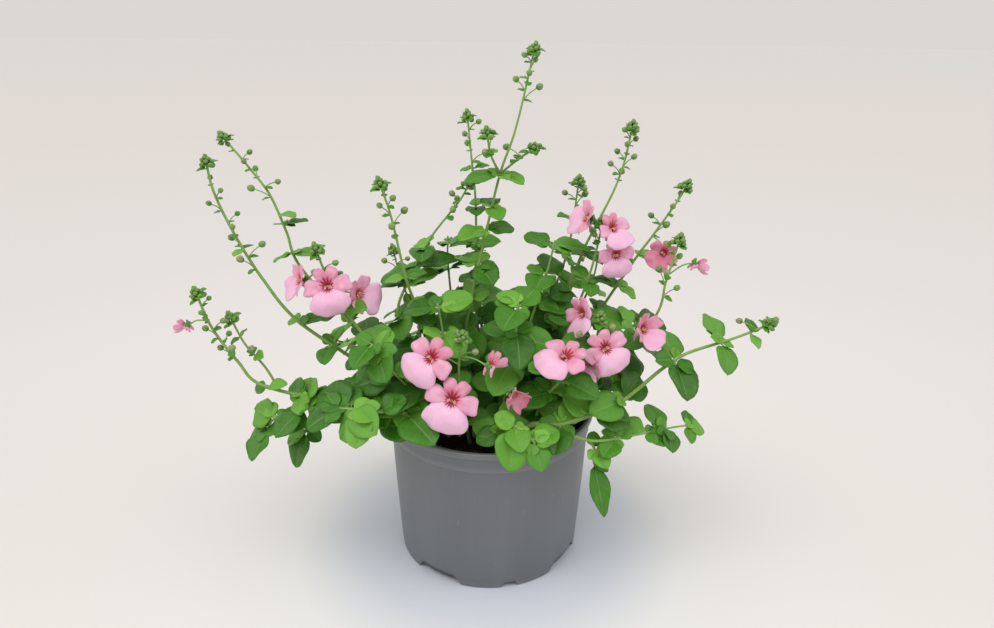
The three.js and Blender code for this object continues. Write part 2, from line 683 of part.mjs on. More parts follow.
function ball(centre, width, length, along) {
  const geometry = new THREE.OctahedronGeometry(1, 0);
  geometry.scale(width, width, length);
  const turn = new THREE.Quaternion().setFromUnitVectors(UP, along);
  geometry.applyQuaternion(turn);
  geometry.translate(centre.x, centre.y, centre.z);
  return solidOf(geometry);
}

// The tight cluster of buds at the end of a flower spike.
function budSolids(shoot) {
  if (shoot.spike === 0) {
    return [];
  }
  const stem = stemCurve(shoot.route);
  return [ball(stem.getPointAt(1), BUD_TIP_RADIUS, BUD_TIP_LENGTH, stem.getTangentAt(1))];
}

// ---- Flowers ----

function corollaOutline(size, open) {
  const points = [];
  for (let index = 0; index < COROLLA_POINTS; index += 1) {
    const angle = (360 * index) / COROLLA_POINTS - 90;
    let reach = THROAT_REACH;
    for (const lobe of LOBES) {
      const away = Math.abs(THREE.MathUtils.euclideanModulo(angle - lobe.angle + 180, 360) - 180);
      const share = Math.min(away / lobe.half, 1);
      reach = Math.max(reach, lobe.reach * Math.sqrt(1 - share ** LOBE_BLUNTNESS));
    }
    const shrink = CLOSED_WIDTH + (1 - CLOSED_WIDTH) * open;
    const lip = 1 + LIP_SPREAD * Math.max(-Math.sin(radians(angle)), 0);
    const x = size * reach * Math.cos(radians(angle)) * lip * shrink;
    points.push(new THREE.Vector2(x, size * reach * Math.sin(radians(angle)) * shrink));
  }
  return new THREE.Shape(points);
}

// The corolla faces Z before it is turned, with its large lower petal towards -Y.
function flowerPlace(flower) {
  const facing = direction(flower.face[0], flower.face[1]);
  const right = new THREE.Vector3().crossVectors(UP, facing).normalize();
  const top = new THREE.Vector3().crossVectors(facing, right);
  right.applyAxisAngle(facing, radians(flower.spin));
  top.applyAxisAngle(facing, radians(flower.spin));
  return new THREE.Matrix4().makeBasis(right, top, facing).setPosition(vector(flower.at));
}

function flowerSolid(flower, stems, grown = 0) {
  const place = flowerPlace(flower);
  const thickness = PETAL_THICKNESS + 2 * grown;
  const corolla = new THREE.ExtrudeGeometry(corollaOutline(flower.size + 2 * grown, flower.open), {
    depth: thickness,
    bevelEnabled: false,
  });
  corolla.translate(0, 0, -thickness / 2);
  corolla.applyMatrix4(place);
  const solids = [solidOf(corolla)];
  const spur = SPUR_LENGTH * Math.min(1, flower.size / FULL_FLOWER);
  for (const side of [-1, 1]) {
    const start = new THREE.Vector3(side * SPUR_ROOT, 0, 0).applyMatrix4(place);
    const end = new THREE.Vector3(side * SPUR_END, -SPUR_FALL * spur, -spur).applyMatrix4(place);
    solids.push(tube([start, end], SPUR_RADIUS, SPUR_SIDES, grown));
  }
  const stem = stems[flower.shoot];
  const root = stem.getPointAt(flower.along);
  const back = new THREE.Vector3(0, CALYX_RISE * flower.size, 0).applyMatrix4(place);
  const clear = SPIKE_RADIUS + STEM_RADIUS / 2 + GAP;
  const start = root.clone().addScaledVector(back.clone().sub(root).normalize(), clear);
  solids.push(tube([start, back], PEDICEL_RADIUS, PEDICEL_SIDES, grown));
  return joined(solids);
}

// ---- Assembly ----

const model = new THREE.Group();

function place(name, solid, look) {
  const mesh = new THREE.Mesh(geometryOf(solid), new THREE.MeshStandardMaterial(COLOURS[look]));
  mesh.name = name;
  model.add(mesh);
}

const stems = {};
for (const shoot of SHOOTS) {
  stems[shoot.name] = stemCurve(shoot.route);
}

// What is already there, each with the piece that it belongs to and its bounding box.
const crowd = [];

function claim(owner, solid) {
  crowd.push({ owner, solid, box: solid.boundingBox() });
}

function meets(box, other) {
  return [0, 1, 2].every((axis) => box.min[axis] < other.max[axis] && other.min[axis] < box.max[axis]);
}

function neighbours(owner, solid) {
  const box = solid.boundingBox();
  return crowd.filter((entry) => entry.owner !== owner && meets(entry.box, box)).map((entry) => entry.solid);
}

function isClear(owner, solid) {
  return neighbours(owner, solid).every((other) => other.intersect(solid).isEmpty());
}

// A leaf that meets what is already there is made shorter until it doesn't, or is left out.
function clearLeaf(owner, leaf) {
  for (const share of SHORTENED) {
    const shorter = { ...leaf, length: leaf.length * share };
    if (shorter.length >= LEAST_LEAF && isClear(owner, leafSolid(shorter, GAP))) {
      claim(owner, leafSolid(shorter));
      return [leafSolid(shorter)];
    }
  }
  return [];
}

for (const shoot of SHOOTS) {
  stemTubes(shoot, GAP).forEach((room) => claim(shoot.name, room));
}
const mixSolid = neighbours("mix", lathed(mixSection(), MIX_SIDES)).reduce(
  (left, room) => left.subtract(room),
  lathed(mixSection(), MIX_SIDES),
);
place("pot", pot(), "pot");
place("potting_mix", mixSolid, "mix");
claim("pot", pot());
claim("mix", mixSolid);

for (const flower of FLOWERS) {
  const name = `flower_${flower.name}`;
  const whole = flowerSolid(flower, stems);
  const trimmed = neighbours(name, whole).reduce((left, room) => left.subtract(room), whole);
  place(name, largest(trimmed), "petal");
  claim(name, flowerSolid(flower, stems, GAP));
}

SHOOTS.forEach((shoot, index) => {
  const seed = KEYS.shoot * index;
  const leaves = leavesOf(shoot, seed).flatMap((leaf) => clearLeaf(shoot.name, leaf));
  const parts = [...stemTubes(shoot), ...leaves, ...budSolids(shoot)];
  place(`shoot_${shoot.name}`, largest(joined(parts)), "shoot");
});

export default model;
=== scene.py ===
import math
import random

import bpy
from mathutils import Matrix, Vector, noise


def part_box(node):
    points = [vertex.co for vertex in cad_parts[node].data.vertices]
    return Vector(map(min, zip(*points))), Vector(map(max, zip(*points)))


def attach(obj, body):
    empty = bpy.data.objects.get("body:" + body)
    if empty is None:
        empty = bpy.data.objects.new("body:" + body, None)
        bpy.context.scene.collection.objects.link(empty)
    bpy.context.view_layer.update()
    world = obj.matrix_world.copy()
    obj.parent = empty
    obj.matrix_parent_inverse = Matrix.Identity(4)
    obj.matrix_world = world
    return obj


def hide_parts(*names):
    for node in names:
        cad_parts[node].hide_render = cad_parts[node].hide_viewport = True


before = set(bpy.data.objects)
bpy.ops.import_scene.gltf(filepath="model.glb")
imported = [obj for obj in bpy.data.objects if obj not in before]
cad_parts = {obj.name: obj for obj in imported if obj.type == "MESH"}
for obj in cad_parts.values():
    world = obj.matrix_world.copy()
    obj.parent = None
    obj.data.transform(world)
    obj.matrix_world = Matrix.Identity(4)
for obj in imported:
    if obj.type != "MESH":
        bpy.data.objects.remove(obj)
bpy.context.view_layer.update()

MM = 0.001

# ---- The plant's plan, in millimetres and degrees: the CAD source's shoots and flowers ----

# Each shoot is one grown piece: a stem with its side twigs, leaf pairs and bud spike.
# route: from inside the potting mix to the tip. turn: azimuth of its lowest leaf pair.
# pairs: how many pairs, span: where along the stem they sit, leaf: first and last length.
# spike: the share of the stem at its end that is a bare bud spike, buds: how many it holds.
# single: leaves that stand by themselves, each as along, azimuth, rise, length.
# thick: the stem's thickness against that of the others.
# A twig's end leaves are each azimuth, rise, length, and width against that of the others.
SHOOT_FIELDS = ("name", "turn", "pairs", "span", "leaf", "spike", "buds",
                "route", "single", "twigs", "thick")
SHOOTS = [
    ("centre_tall", 20, 5, [0.2, 0.56], [20, 15], 0.12, 5,
     [[-4, 3, 70], [-14, 0, 125], [-10, 2, 157], [-4, 6, 185], [4, 9, 220], [12, 10, 244],
      [21, 12, 284]],
     [[0.7, 200, 14, 17], [0.7, -32, -22, 13], [0.62, 100, 20, 12], [0.62, 285, 5, 12],
      [0.93, 165, 10, 4]],
     [{"from": 0.7, "route": [[14, 7, 229], [23, 5, 235]], "pairs": 2, "leaf": [5, 4]},
      {"from": 0.7, "route": [[-1, 7, 231], [-3, 5, 243]], "pairs": 2, "leaf": [6, 4]}]),
    ("centre_rear", 80, 6, [0.25, 0.84], [19, 8], 0.14, 4,
     [[2, 16, 70], [-8, 22, 130], [-9, 22, 198], [-11, 26, 220], [-14, 30, 249]]),
    ("left_arching", 80, 5, [0.2, 0.72], [20, 14], 0.14, 4,
     [[-16, 10, 70], [-38, 8, 102], [-53, 10, 138], [-46, 16, 160], [-34, 18, 183], [-18, 16, 204],
      [-12, 15, 215]],
     [[0.65, 188, -2, 19], [0.65, 5, 8, 22]]),
    ("left_slender", 110, 4, [0.25, 0.66], [18, 10], 0.18, 5,
     [[-20, -5, 70], [-37, -9, 120], [-40, -10, 149], [-45, -14, 169], [-51, -18, 203],
      [-56, -20, 221]]),
    ("left_upper_front", 75, 4, [0.2, 0.52], [18, 10], 0.3, 8,
     [[-31, -9, 70], [-64, -13, 112], [-103, -15, 144], [-121, -12, 167], [-134, -10, 191],
      [-142, -10, 213], [-144, -10, 229]],
     [[0.76, 250, 20, 7], [0.76, 60, 20, 6]]),
    ("left_upper_rear", 60, 4, [0.18, 0.5], [20, 12], 0.2, 6,
     [[-28, 14, 70], [-70, 18, 116], [-108, 20, 162], [-116, 22, 184], [-124, 25, 204], [-134, 27, 218],
      [-149, 30, 236]],
     [[0.64, 185, -8, 11], [0.64, -10, -18, 13], [0.72, 10, 8, 12], [0.75, -25, 24, 10],
      [0.72, 120, 10, 9]]),
    ("left_outer", 95, 4, [0.3, 0.62], [20, 9], 0.24, 8,
     [[-36, -18, 70], [-56, -25, 102], [-90, -32, 107], [-121, -34, 116], [-132, -32, 128],
      [-144, -30, 146], [-150, -30, 166]],
     [],
     [
      {"from": 0.58, "route": [[-120, -26, 122], [-131, -22, 134], [-138, -20, 149]],
      "pairs": 3, "leaf": [7, 4]}]),
    ("left_low", 60, 4, [0.42, 0.9], [17, 19], 0, 0,
     [[-35, -27, 70], [-52, -36, 104], [-88, -42, 107], [-112, -36, 99], [-121, -30, 88]],
     [[1, 250, -50, 17], [1, 165, -35, 15]]),
    ("left_hanging", 40, 2, [0.5, 0.82], [16, 15], 0, 0,
     [[-43, -4, 70], [-61, -10, 101], [-88, -16, 94], [-103, -19, 81]],
     [[1, 262, -76, 19], [1, 180, -40, 13], [1, 20, -50, 9]]),
    ("left_middle", 85, 4, [0.28, 0.74], [21, 13], 0.16, 4,
     [[-26, -16, 70], [-52, -23, 118], [-76, -21, 152], [-86, -18, 172], [-91, -16, 186]]),
    ("front_left", 30, 4, [0.4, 0.92], [22, 20], 0, 0,
     [[-24, -35, 70], [-39, -48, 105], [-60, -55, 112], [-76, -52, 112]],
     [[1, 200, -10, 17], [0.85, 270, -50, 17]]),
    ("front_left_upper", 0, 4, [0.4, 0.95], [22, 18], 0, 0,
     [[-16, -25, 70], [-38, -37, 110], [-54, -40, 132], [-60, -40, 142]],
     [[1, 240, 25, 15]]),
    ("front_flowering", 190, 2, [0.35, 0.62], [16, 12], 0.14, 3,
     [[-9, -31, 70], [-14, -41, 106], [-16, -45, 130], [-14, -46, 150]]),
    ("front_centre", 60, 5, [0.3, 0.98], [19, 16], 0, 0,
     [[3, -25, 70], [8, -32, 110], [12, -34, 140], [14, -33, 162]],
     [[0.85, -80, -35, 19], [1, 150, 40, 12]]),
    ("front_draping", 200, 3, [0.55, 0.98], [14, 13], 0, 0,
     [[2, -43, 70], [6, -54, 102], [14, -63, 108], [22, -67, 102]],
     [[0.8, 250, -55, 19], [1, -70, -50, 13], [0.55, 225, 15, 12]]),
    ("front_right", 45, 5, [0.35, 0.98], [17, 17], 0, 0,
     [[17, -23, 70], [28, -35, 108], [36, -42, 124], [38, -44, 138]]),
    ("right_front", 10, 3, [0.35, 0.75], [20, 15], 0.15, 3,
     [[25, -17, 70], [44, -26, 112], [54, -31, 140], [56, -33, 156]]),
    ("right_long", 70, 3, [0.3, 0.5], [15, 20], 0.05, 2,
     [[9, -37, 70], [19, -50, 101], [38, -50, 103], [65, -42, 110], [77, -38, 117], [89, -35, 127],
      [102, -32, 135], [124, -28, 141], [134, -26, 144], [148, -25, 150]],
     [[0.69, 95, 42, 20], [0.69, -75, -30, 20], [0.84, 110, 45, 17], [0.84, -80, -25, 16],
      [0.93, 60, 30, 10], [0.93, -60, -10, 9]],
     [], 1.3),
    ("right_low", 60, 2, [0.62, 0.78], [12, 12], 0, 0,
     [[21, -31, 70], [32, -50, 97], [53, -55, 96], [70, -46, 93], [84, -39, 92], [97, -34, 92],
      [107, -31, 92]],
     [[0.86, 90, 55, 15], [0.9, -90, -50, 12], [1, 0, 10, 11], [1, -70, -30, 9], [1, 70, 30, 9]],
     [
      {"from": 0.47, "route": [[54, -54, 91], [54, -52, 84]],
      "pairs": 1, "leaf": [10, 10], "end": [[-95, -84, 26, 0.45], [-10, -50, 9, 0.8]]}]),
    ("right_flowering", 30, 4, [0.25, 0.75], [19, 12], 0.1, 4,
     [[19, -3, 70], [38, -5, 124], [52, -8, 168], [58, -9, 200]]),
    ("right_tall", 60, 4, [0.25, 0.62], [20, 14], 0.16, 7,
     [[14, 6, 70], [33, 6, 125], [49, 7, 175], [56, 9, 191], [66, 12, 212], [71, 14, 228],
      [74, 15, 246]],
     [[0.71, 180, 12, 13], [0.71, -5, 6, 12]]),
    ("right_rear", 15, 5, [0.25, 0.85], [20, 10], 0.1, 4,
     [[9, 20, 70], [28, 26, 125], [44, 31, 170], [49, 31, 214]]),
    ("right_upper", 70, 4, [0.25, 0.6], [20, 12], 0.2, 4,
     [[27, 9, 70], [54, 9, 128], [79, 7, 174], [87, 8, 186], [100, 10, 206], [105, 10, 216]],
     [[0.68, 150, 10, 17], [0.72, 20, 15, 12]]),
    ("right_middle", 40, 3, [0.3, 0.6], [19, 12], 0.22, 5,
     [[30, -7, 70], [60, -14, 112], [86, -21, 150], [91, -20, 171], [96, -20, 194]]),
    ("right_inner", 95, 4, [0.4, 0.97], [21, 22], 0, 0,
     [[38, -1, 70], [60, -1, 106], [74, -3, 130], [80, -6, 142]]),
    ("centre_right", 70, 6, [0.3, 0.98], [19, 16], 0, 0,
     [[6, -6, 70], [18, -4, 126], [30, -1, 168], [34, 1, 186]]),
    ("centre_left", 10, 5, [0.35, 0.97], [20, 16], 0, 0,
     [[-9, -12, 70], [-22, -20, 118], [-26, -22, 146], [-28, -22, 158]]),
    ("back_left", 20, 4, [0.35, 0.8], [21, 15], 0.12, 4,
     [[-20, 27, 70], [-42, 46, 112], [-56, 58, 142], [-62, 62, 164]]),
    ("back_centre", 60, 4, [0.35, 0.8], [21, 14], 0.12, 4,
     [[-3, 35, 70], [-6, 55, 116], [-8, 68, 144], [-8, 74, 164]]),
    ("back_right", 100, 4, [0.35, 0.8], [21, 15], 0.12, 4,
     [[19, 31, 70], [38, 48, 114], [52, 60, 142], [58, 64, 164]]),
    ("back_left_low", 45, 4, [0.45, 0.95], [20, 17], 0, 0,
     [[-36, 22, 70], [-54, 34, 102], [-78, 48, 108], [-98, 58, 100]],
     [[1, 150, -30, 15]]),
    ("back_right_low", 80, 4, [0.45, 0.95], [20, 17], 0, 0,
     [[36, 21, 70], [54, 34, 102], [78, 44, 110], [98, 52, 104]],
     [[1, 30, -30, 15]]),
    ("back_low", 30, 3, [0.5, 0.95], [19, 17], 0, 0,
     [[8, 45, 70], [11, 61, 103], [14, 78, 106], [16, 90, 98]],
     [[1, 80, -40, 15]]),
    ("rear_left_upper", 90, 5, [0.35, 0.97], [20, 14], 0, 0,
     [[-12, 24, 70], [-22, 36, 124], [-26, 40, 160], [-26, 40, 178]]),
    ("rear_right_upper", 0, 5, [0.35, 0.97], [20, 14], 0, 0,
     [[26, 20, 70], [46, 30, 120], [60, 36, 150], [64, 38, 170]]),
]

# Each flower: its shoot and where along it the stalk starts, the middle of its face, the azimuth
# and rise of the way it faces, its spin about that, its lower petal's length, and how open it is.
FLOWER_FIELDS = ("name", "shoot", "along", "at", "face", "spin", "size", "open")
FLOWERS = [
    ("front_low", "front_flowering", 0.66, [-19, -63, 122], [-92, 22], -18, 16, 1),
    ("front_high", "front_flowering", 0.8, [-30, -54, 141], [-105, 30], -38, 15, 1),
    ("front_turned", "front_flowering", 0.86, [1, -52, 137], [50, 20], 0, 10, 0.1),
    ("front_faded", "front_centre", 0.5, [12, -58, 123], [-60, -20], 50, 9, 0.4),
    ("front_right", "front_right", 0.97, [36, -54, 143], [-112, 60], -38, 15, 0.9),
    ("left_middle", "left_middle", 0.84, [-84, -27, 168], [-95, 20], 12, 15, 1),
    ("left_outer", "left_middle", 0.9, [-101, -17, 168], [-150, 20], -30, 12, 0.7),
    ("left_inner", "left_middle", 0.8, [-69, -15, 160], [-35, 15], 55, 13, 0.7),
    ("right_upper", "right_front", 0.95, [47, -26, 154], [-150, 10], 25, 13, 0.7),
    ("right_open", "right_front", 0.86, [59, -41, 141], [-80, 18], 28, 14, 1),
    ("right_lower", "right_front", 0.78, [50, -38, 132], [-130, -10], -15, 13, 0.6),
    ("right_outer", "right_middle", 0.66, [80, -29, 147], [-50, 20], 15, 13, 0.5),
    ("rear_top", "right_flowering", 0.97, [48, -12, 202], [-165, 25], -60, 12, 0.7),
    ("rear_side", "right_flowering", 0.93, [63, -14, 197], [-60, 30], 10, 12, 0.8),
    ("rear_low", "right_flowering", 0.86, [65, -16, 183], [-75, 0], 5, 12, 0.9),
    ("right_salmon", "right_upper", 0.8, [93, 0, 180], [-100, 10], -40, 11, 0.6),
    ("right_bud", "right_middle", 0.86, [107, -18, 179], [10, -10], 0, 8, 0.1),
    ("left_bud", "left_outer", 0.9, [-158, -30, 147], [170, 0], 0, 7, 0.1),
]

# Each lobe of a corolla: its angle, its reach against the lower lobe's, its half width in degrees,
# and how deep its pink is.
LOBES = [
  { "angle": -90, "reach": 1, "half": 70, "deep": 0.0 },
  { "angle": 6, "reach": 0.84, "half": 38, "deep": 0.6 },
  { "angle": 174, "reach": 0.84, "half": 38, "deep": 0.6 },
  { "angle": 66, "reach": 0.74, "half": 31, "deep": 0.95 },
  { "angle": 114, "reach": 0.74, "half": 31, "deep": 0.95 },
]

# ---- Sizes ----

STEM_RADIUS = 1.15 * MM
TIP_RADIUS = 0.55 * MM
TWIG_RADIUS = 0.7 * MM
PEDICEL_RADIUS = 0.32 * MM
STEM_SIDES = 8
STEM_STEP = 3 * MM

LEAF_WIDTH = 0.95
LEAF_THICKNESS = 0.32 * MM
LEAF_TILT = 38  # how far a leaf's face leans from straight up towards the light
LEAST_TILT = 0.3  # share of that lean that the highest leaves keep
TILT_TOP = 205 * MM
TILT_RANGE = 65 * MM
LEAF_DROOP = 0.8  # how fully a leaf swings round to lie across the light
LEAN_ACROSS = 0.6
LEAN_CENTRE = 30 * MM
PETIOLE_SHARE = 0.16
PETIOLE_SHADE = (0.7, 0.9, 0)
LEAF_ROWS = 15
LEAF_COLUMNS = 9
AXIL_LEAST = 10  # length of the smallest leaf that has leaves in its axil, in millimetres
AXIL_SHARE = 0.48  # length of the small leaves in a leaf pair's axils

GOLDEN_ANGLE = 137.5
SPUR_LENGTH = 7.5 * MM
LIP_SPREAD = 0.3  # how much wider than it is long the lower petal is
PETAL_ROWS = 12
PETAL_STEPS = 72

POT_STEPS = 720
POT_WALL = 1.3  # the pot's own sizes, in millimetres, are the CAD source's
POT_BASE = 53.2
POT_LIP = 3.4
POT_SHOULDER = 12.5
POT_FLOOR = 7.5
# The foot's notches: the first one's azimuth, how many, width, width at the top, height.
POT_NOTCHES = ((-123, 4, 31, 20, 6.4), (-77, 4, 10, 6, 3.2))
HOLE_RADIUS = 4 * MM
HOLE_CIRCLE = 38 * MM

MIX_RINGS = 63
MIX_STEPS = 180
MIX_SHRINK = 0.985  # keeps the mix clear of the pot's wall below its surface

# ---- Mesh building ----


class Shape:
    """Points and faces of one piece, with a colour for each point that its material reads."""

    def __init__(self):
        self.points = []
        self.faces = []
        self.shades = []

    def grid(self, rows, shades, closed=False):
        """Adds a sheet of quads through rows of points; closed joins each row's ends."""
        first = len(self.points)
        width = len(rows[0])
        for row, tones in zip(rows, shades):
            self.points.extend(row)
            self.shades.extend(tones)
        for row in range(len(rows) - 1):
            for column in range(width if closed else width - 1):
                a = first + row * width + column
                b = first + row * width + (column + 1) % width
                self.faces.append((a, b, b + width, a + width))

    def cap(self, ring, shade, flip=False):
        """Closes a ring of points with one face."""
        first = len(self.points)
        self.points.extend(ring)
        self.shades.extend([shade] * len(ring))
        order = range(first, first + len(ring))
        self.faces.append(tuple(reversed(order)) if flip else tuple(order))

    def build(self, name, material, nodes=()):
        """Makes the piece's object, riding on the plant's one body."""
        mesh = bpy.data.meshes.new(name)
        mesh.from_pydata([tuple(point) for point in self.points], [], self.faces)
        shade = mesh.attributes.new("shade", "FLOAT_COLOR", "POINT")
        values = [value for tone in self.shades for value in (*tone, 1.0)]
        shade.data.foreach_set("color", values)
        mesh.polygons.foreach_set("use_smooth", [True] * len(mesh.polygons))
        mesh.materials.append(material)
        mesh.validate()
        piece = bpy.data.objects.new(name, mesh)
        bpy.context.collection.objects.link(piece)
        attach(piece, "root")
        if nodes:
            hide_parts(*nodes)
        return piece


def wobble(key):
    """A smooth, repeatable variation between -1 and 1 for the key-th thing."""
    return math.sin(key * 2.4)


def direction(azimuth, rise):
    level = math.cos(math.radians(rise))
    turn = math.radians(azimuth)
    return Vector((math.cos(turn) * level, math.sin(turn) * level, math.sin(math.radians(rise))))


class Route:
    """A smooth curve through given points, measured by its length."""

    STEPS = 24

    def __init__(self, points):
        ends = [2 * points[0] - points[1], *points, 2 * points[-1] - points[-2]]
        self.places = [points[0]]
        for index in range(1, len(points)):
            before, start, end, after = ends[index - 1:index + 3]
            leave = (end - before) / 2
            arrive = (after - start) / 2
            for step in range(1, self.STEPS + 1):
                t = step / self.STEPS
                bend = (-3 * start + 3 * end - 2 * leave - arrive) * t**2
                twist = (2 * start - 2 * end + leave + arrive) * t**3
                self.places.append(start + leave * t + bend + twist)
        self.reach = [0.0]
        for one, two in zip(self.places, self.places[1:]):
            self.reach.append(self.reach[-1] + (two - one).length)
        self.length = self.reach[-1]

    def at(self, share):
        goal = min(max(share, 0), 1) * self.length
        index = 1
        while index < len(self.reach) - 1 and self.reach[index] < goal:
            index += 1
        gap = self.reach[index] - self.reach[index - 1]
        part = (goal - self.reach[index - 1]) / gap if gap else 0
        return self.places[index - 1].lerp(self.places[index], part)

    def way(self, share):
        step = 0.01
        return (self.at(min(share + step, 1)) - self.at(max(share - step, 0))).normalized()


def tube(shape, line, radii, sides, shades, ridges=0.0):
    """Adds a round tube through the points of line; ridges makes its section slightly square."""
    rows = []
    tones = []
    way = (line[1] - line[0]).normalized()
    side = way.orthogonal().normalized()
    for index, point in enumerate(line):
        ahead = line[min(index + 1, len(line) - 1)]
        behind = line[max(index - 1, 0)]
        way = (ahead - behind).normalized()
        side = (side - way * side.dot(way)).normalized()
        other = way.cross(side)
        row = []
        for step in range(sides):
            turn = 2 * math.pi * step / sides
            radius = radii[index] * (1 + ridges * math.cos(4 * turn))
            row.append(point + side * radius * math.cos(turn) + other * radius * math.sin(turn))
        rows.append(row)
        tones.append([shades[index]] * sides)
    shape.grid(rows, tones, closed=True)
    shape.cap(rows[0], shades[0], flip=True)
    shape.cap(rows[-1], shades[-1])


# ---- Materials ----


def material(name, roughness, specular=0.5, subsurface=0.0, radius=(0.6, 1.0, 0.3)):
    made = bpy.data.materials.new(name)
    made.use_nodes = True
    shader = made.node_tree.nodes["Principled BSDF"]
    shader.inputs["Roughness"].default_value = roughness
    shader.inputs["Specular IOR Level"].default_value = specular
    shader.inputs["Subsurface Weight"].default_value = subsurface
    shader.inputs["Subsurface Radius"].default_value = radius
    shader.inputs["Subsurface Scale"].default_value = 1.5 * MM
    return made


class Nodes:
    """Short calls for a material's node tree."""

    def __init__(self, made):
        self.tree = made.node_tree
        self.shader = self.tree.nodes["Principled BSDF"]
        self.place = self.add("ShaderNodeTexCoord").outputs["Object"]

    def add(self, kind, **settings):
        node = self.tree.nodes.new(kind)
        for key, value in settings.items():
            setattr(node, key, value)
        return node

    def link(self, source, target):
        self.tree.links.new(source, target)

    def shade(self):
        """The three numbers that the mesh stores for each point."""
        stored = self.add("ShaderNodeAttribute", attribute_name="shade")
        split = self.add("ShaderNodeSeparateColor")
        self.link(stored.outputs["Color"], split.inputs[0])
        return split.outputs

    def noise(self, scale, detail=3.0, rough=0.55, stretch=None):
        node = self.add("ShaderNodeTexNoise")
        node.inputs["Scale"].default_value = scale
        node.inputs["Detail"].default_value = detail
        node.inputs["Roughness"].default_value = rough
        source = self.place
        if stretch:
            mapping = self.add("ShaderNodeMapping")
            mapping.inputs["Scale"].default_value = stretch
            self.link(source, mapping.inputs["Vector"])
            source = mapping.outputs["Vector"]
        self.link(source, node.inputs["Vector"])
        return node.outputs["Fac"]

    def ramp(self, source, *stops):
        node = self.add("ShaderNodeValToRGB")
        marks = node.color_ramp.elements
        while len(marks) < len(stops):
            marks.new(0.5)
        for mark, (where, colour) in zip(marks, stops):
            mark.position = where
            mark.color = (*colour, 1) if isinstance(colour, tuple) else (colour, colour, colour, 1)
        self.link(source, node.inputs["Fac"])
        return node.outputs["Color"]

    def mix(self, share, one, two, blend="MIX"):
        node = self.add("ShaderNodeMix", data_type="RGBA", blend_type=blend)
        for socket, value in ((0, share), (6, one), (7, two)):
            if isinstance(value, (int, float)):
                node.inputs[socket].default_value = value
            elif isinstance(value, tuple):
                node.inputs[socket].default_value = (*value, 1)
            else:
                self.link(value, node.inputs[socket])
        return node.outputs[2]

    def math(self, kind, one, two=0.0):
        node = self.add("ShaderNodeMath", operation=kind)
        for socket, value in ((0, one), (1, two)):
            if isinstance(value, (int, float)):
                node.inputs[socket].default_value = value
            else:
                self.link(value, node.inputs[socket])
        return node.outputs[0]

    def bump(self, height, strength, distance):
        node = self.add("ShaderNodeBump")
        node.inputs["Strength"].default_value = strength
        node.inputs["Distance"].default_value = distance
        self.link(height, node.inputs["Height"])
        self.link(node.outputs["Normal"], self.shader.inputs["Normal"])

    def colour(self, source):
        self.link(source, self.shader.inputs["Base Color"])

    def roughness(self, source):
        self.link(source, self.shader.inputs["Roughness"])


def leaf_material():
    """Mid green with paler veins. Shade: leaf's own tone, place across, place along."""
    made = material("leaf_green", 0.45, 0.32, 0.12)
    nodes = Nodes(made)
    tone, across, along = nodes.shade()
    greens = (0.0, (0.014, 0.07, 0.004)), (0.5, (0.048, 0.2, 0.008)), (1.0, (0.19, 0.46, 0.05))
    base = nodes.ramp(tone, *greens)
    patches = nodes.noise(160, 3)
    base = nodes.mix(nodes.ramp(patches, (0.35, 0.0), (0.7, 0.35)), base, (0.09, 0.27, 0.025))
    slope = nodes.math("SUBTRACT", along, nodes.math("MULTIPLY", across, 0.22))
    wave = nodes.math("PINGPONG", slope, 0.085)
    side_vein = nodes.ramp(wave, (0.0, 1.0), (0.02, 0.0))
    midrib = nodes.ramp(across, (0.01, 1.0), (0.07, 0.0))
    side_vein = nodes.math("MULTIPLY", side_vein, 0.16)
    midrib = nodes.math("MULTIPLY", midrib, 0.7)
    veins = nodes.math("MAXIMUM", side_vein, midrib)
    nodes.colour(nodes.mix(nodes.math("MULTIPLY", veins, 0.5), base, (0.25, 0.45, 0.13)))
    fine = nodes.math("ADD", nodes.noise(900, 3), nodes.math("MULTIPLY", veins, -0.5))
    nodes.bump(fine, 0.35, 0.35 * MM)
    nodes.roughness(nodes.ramp(nodes.noise(300, 2), (0.3, 0.36), (0.7, 0.52)))
    return made


def stem_material():
    """Light green, browner low down. Shade: tone, height along the stem, unused."""
    made = material("stem_green", 0.45, 0.4, 0.1)
    nodes = Nodes(made)
    tone, along, _ = nodes.shade()
    greens = (0.0, (0.13, 0.17, 0.05)), (0.35, (0.18, 0.33, 0.065)), (1.0, (0.22, 0.42, 0.1))
    base = nodes.ramp(along, *greens)
    streaks = nodes.noise(260, 3, stretch=(1, 1, 0.2))
    base = nodes.mix(nodes.ramp(streaks, (0.45, 0.0), (0.75, 0.5)), base, (0.2, 0.15, 0.07))
    nodes.colour(nodes.mix(nodes.math("MULTIPLY", tone, 0.3), base, (0.25, 0.42, 0.1)))
    nodes.bump(nodes.noise(1500, 2, stretch=(1, 1, 0.25)), 0.3, 0.2 * MM)
    return made


def bud_material():
    """Green sepals over a brownish or pink bud. Shade: sepal, pinkness, tone."""
    made = material("bud_green", 0.5, 0.35, 0.1)
    nodes = Nodes(made)
    sepal, pink, tone = nodes.shade()
    green = nodes.ramp(tone, (0.0, (0.04, 0.16, 0.02)), (1.0, (0.14, 0.36, 0.06)))
    inner = nodes.mix(pink, (0.2, 0.32, 0.09), (0.62, 0.34, 0.33))
    base = nodes.mix(sepal, inner, green)
    patches = nodes.ramp(nodes.noise(1200, 2), (0.4, 0.0), (0.8, 0.4))
    nodes.colour(nodes.mix(patches, base, (0.24, 0.32, 0.12)))
    nodes.bump(nodes.noise(2500, 2), 0.4, 0.2 * MM)
    return made


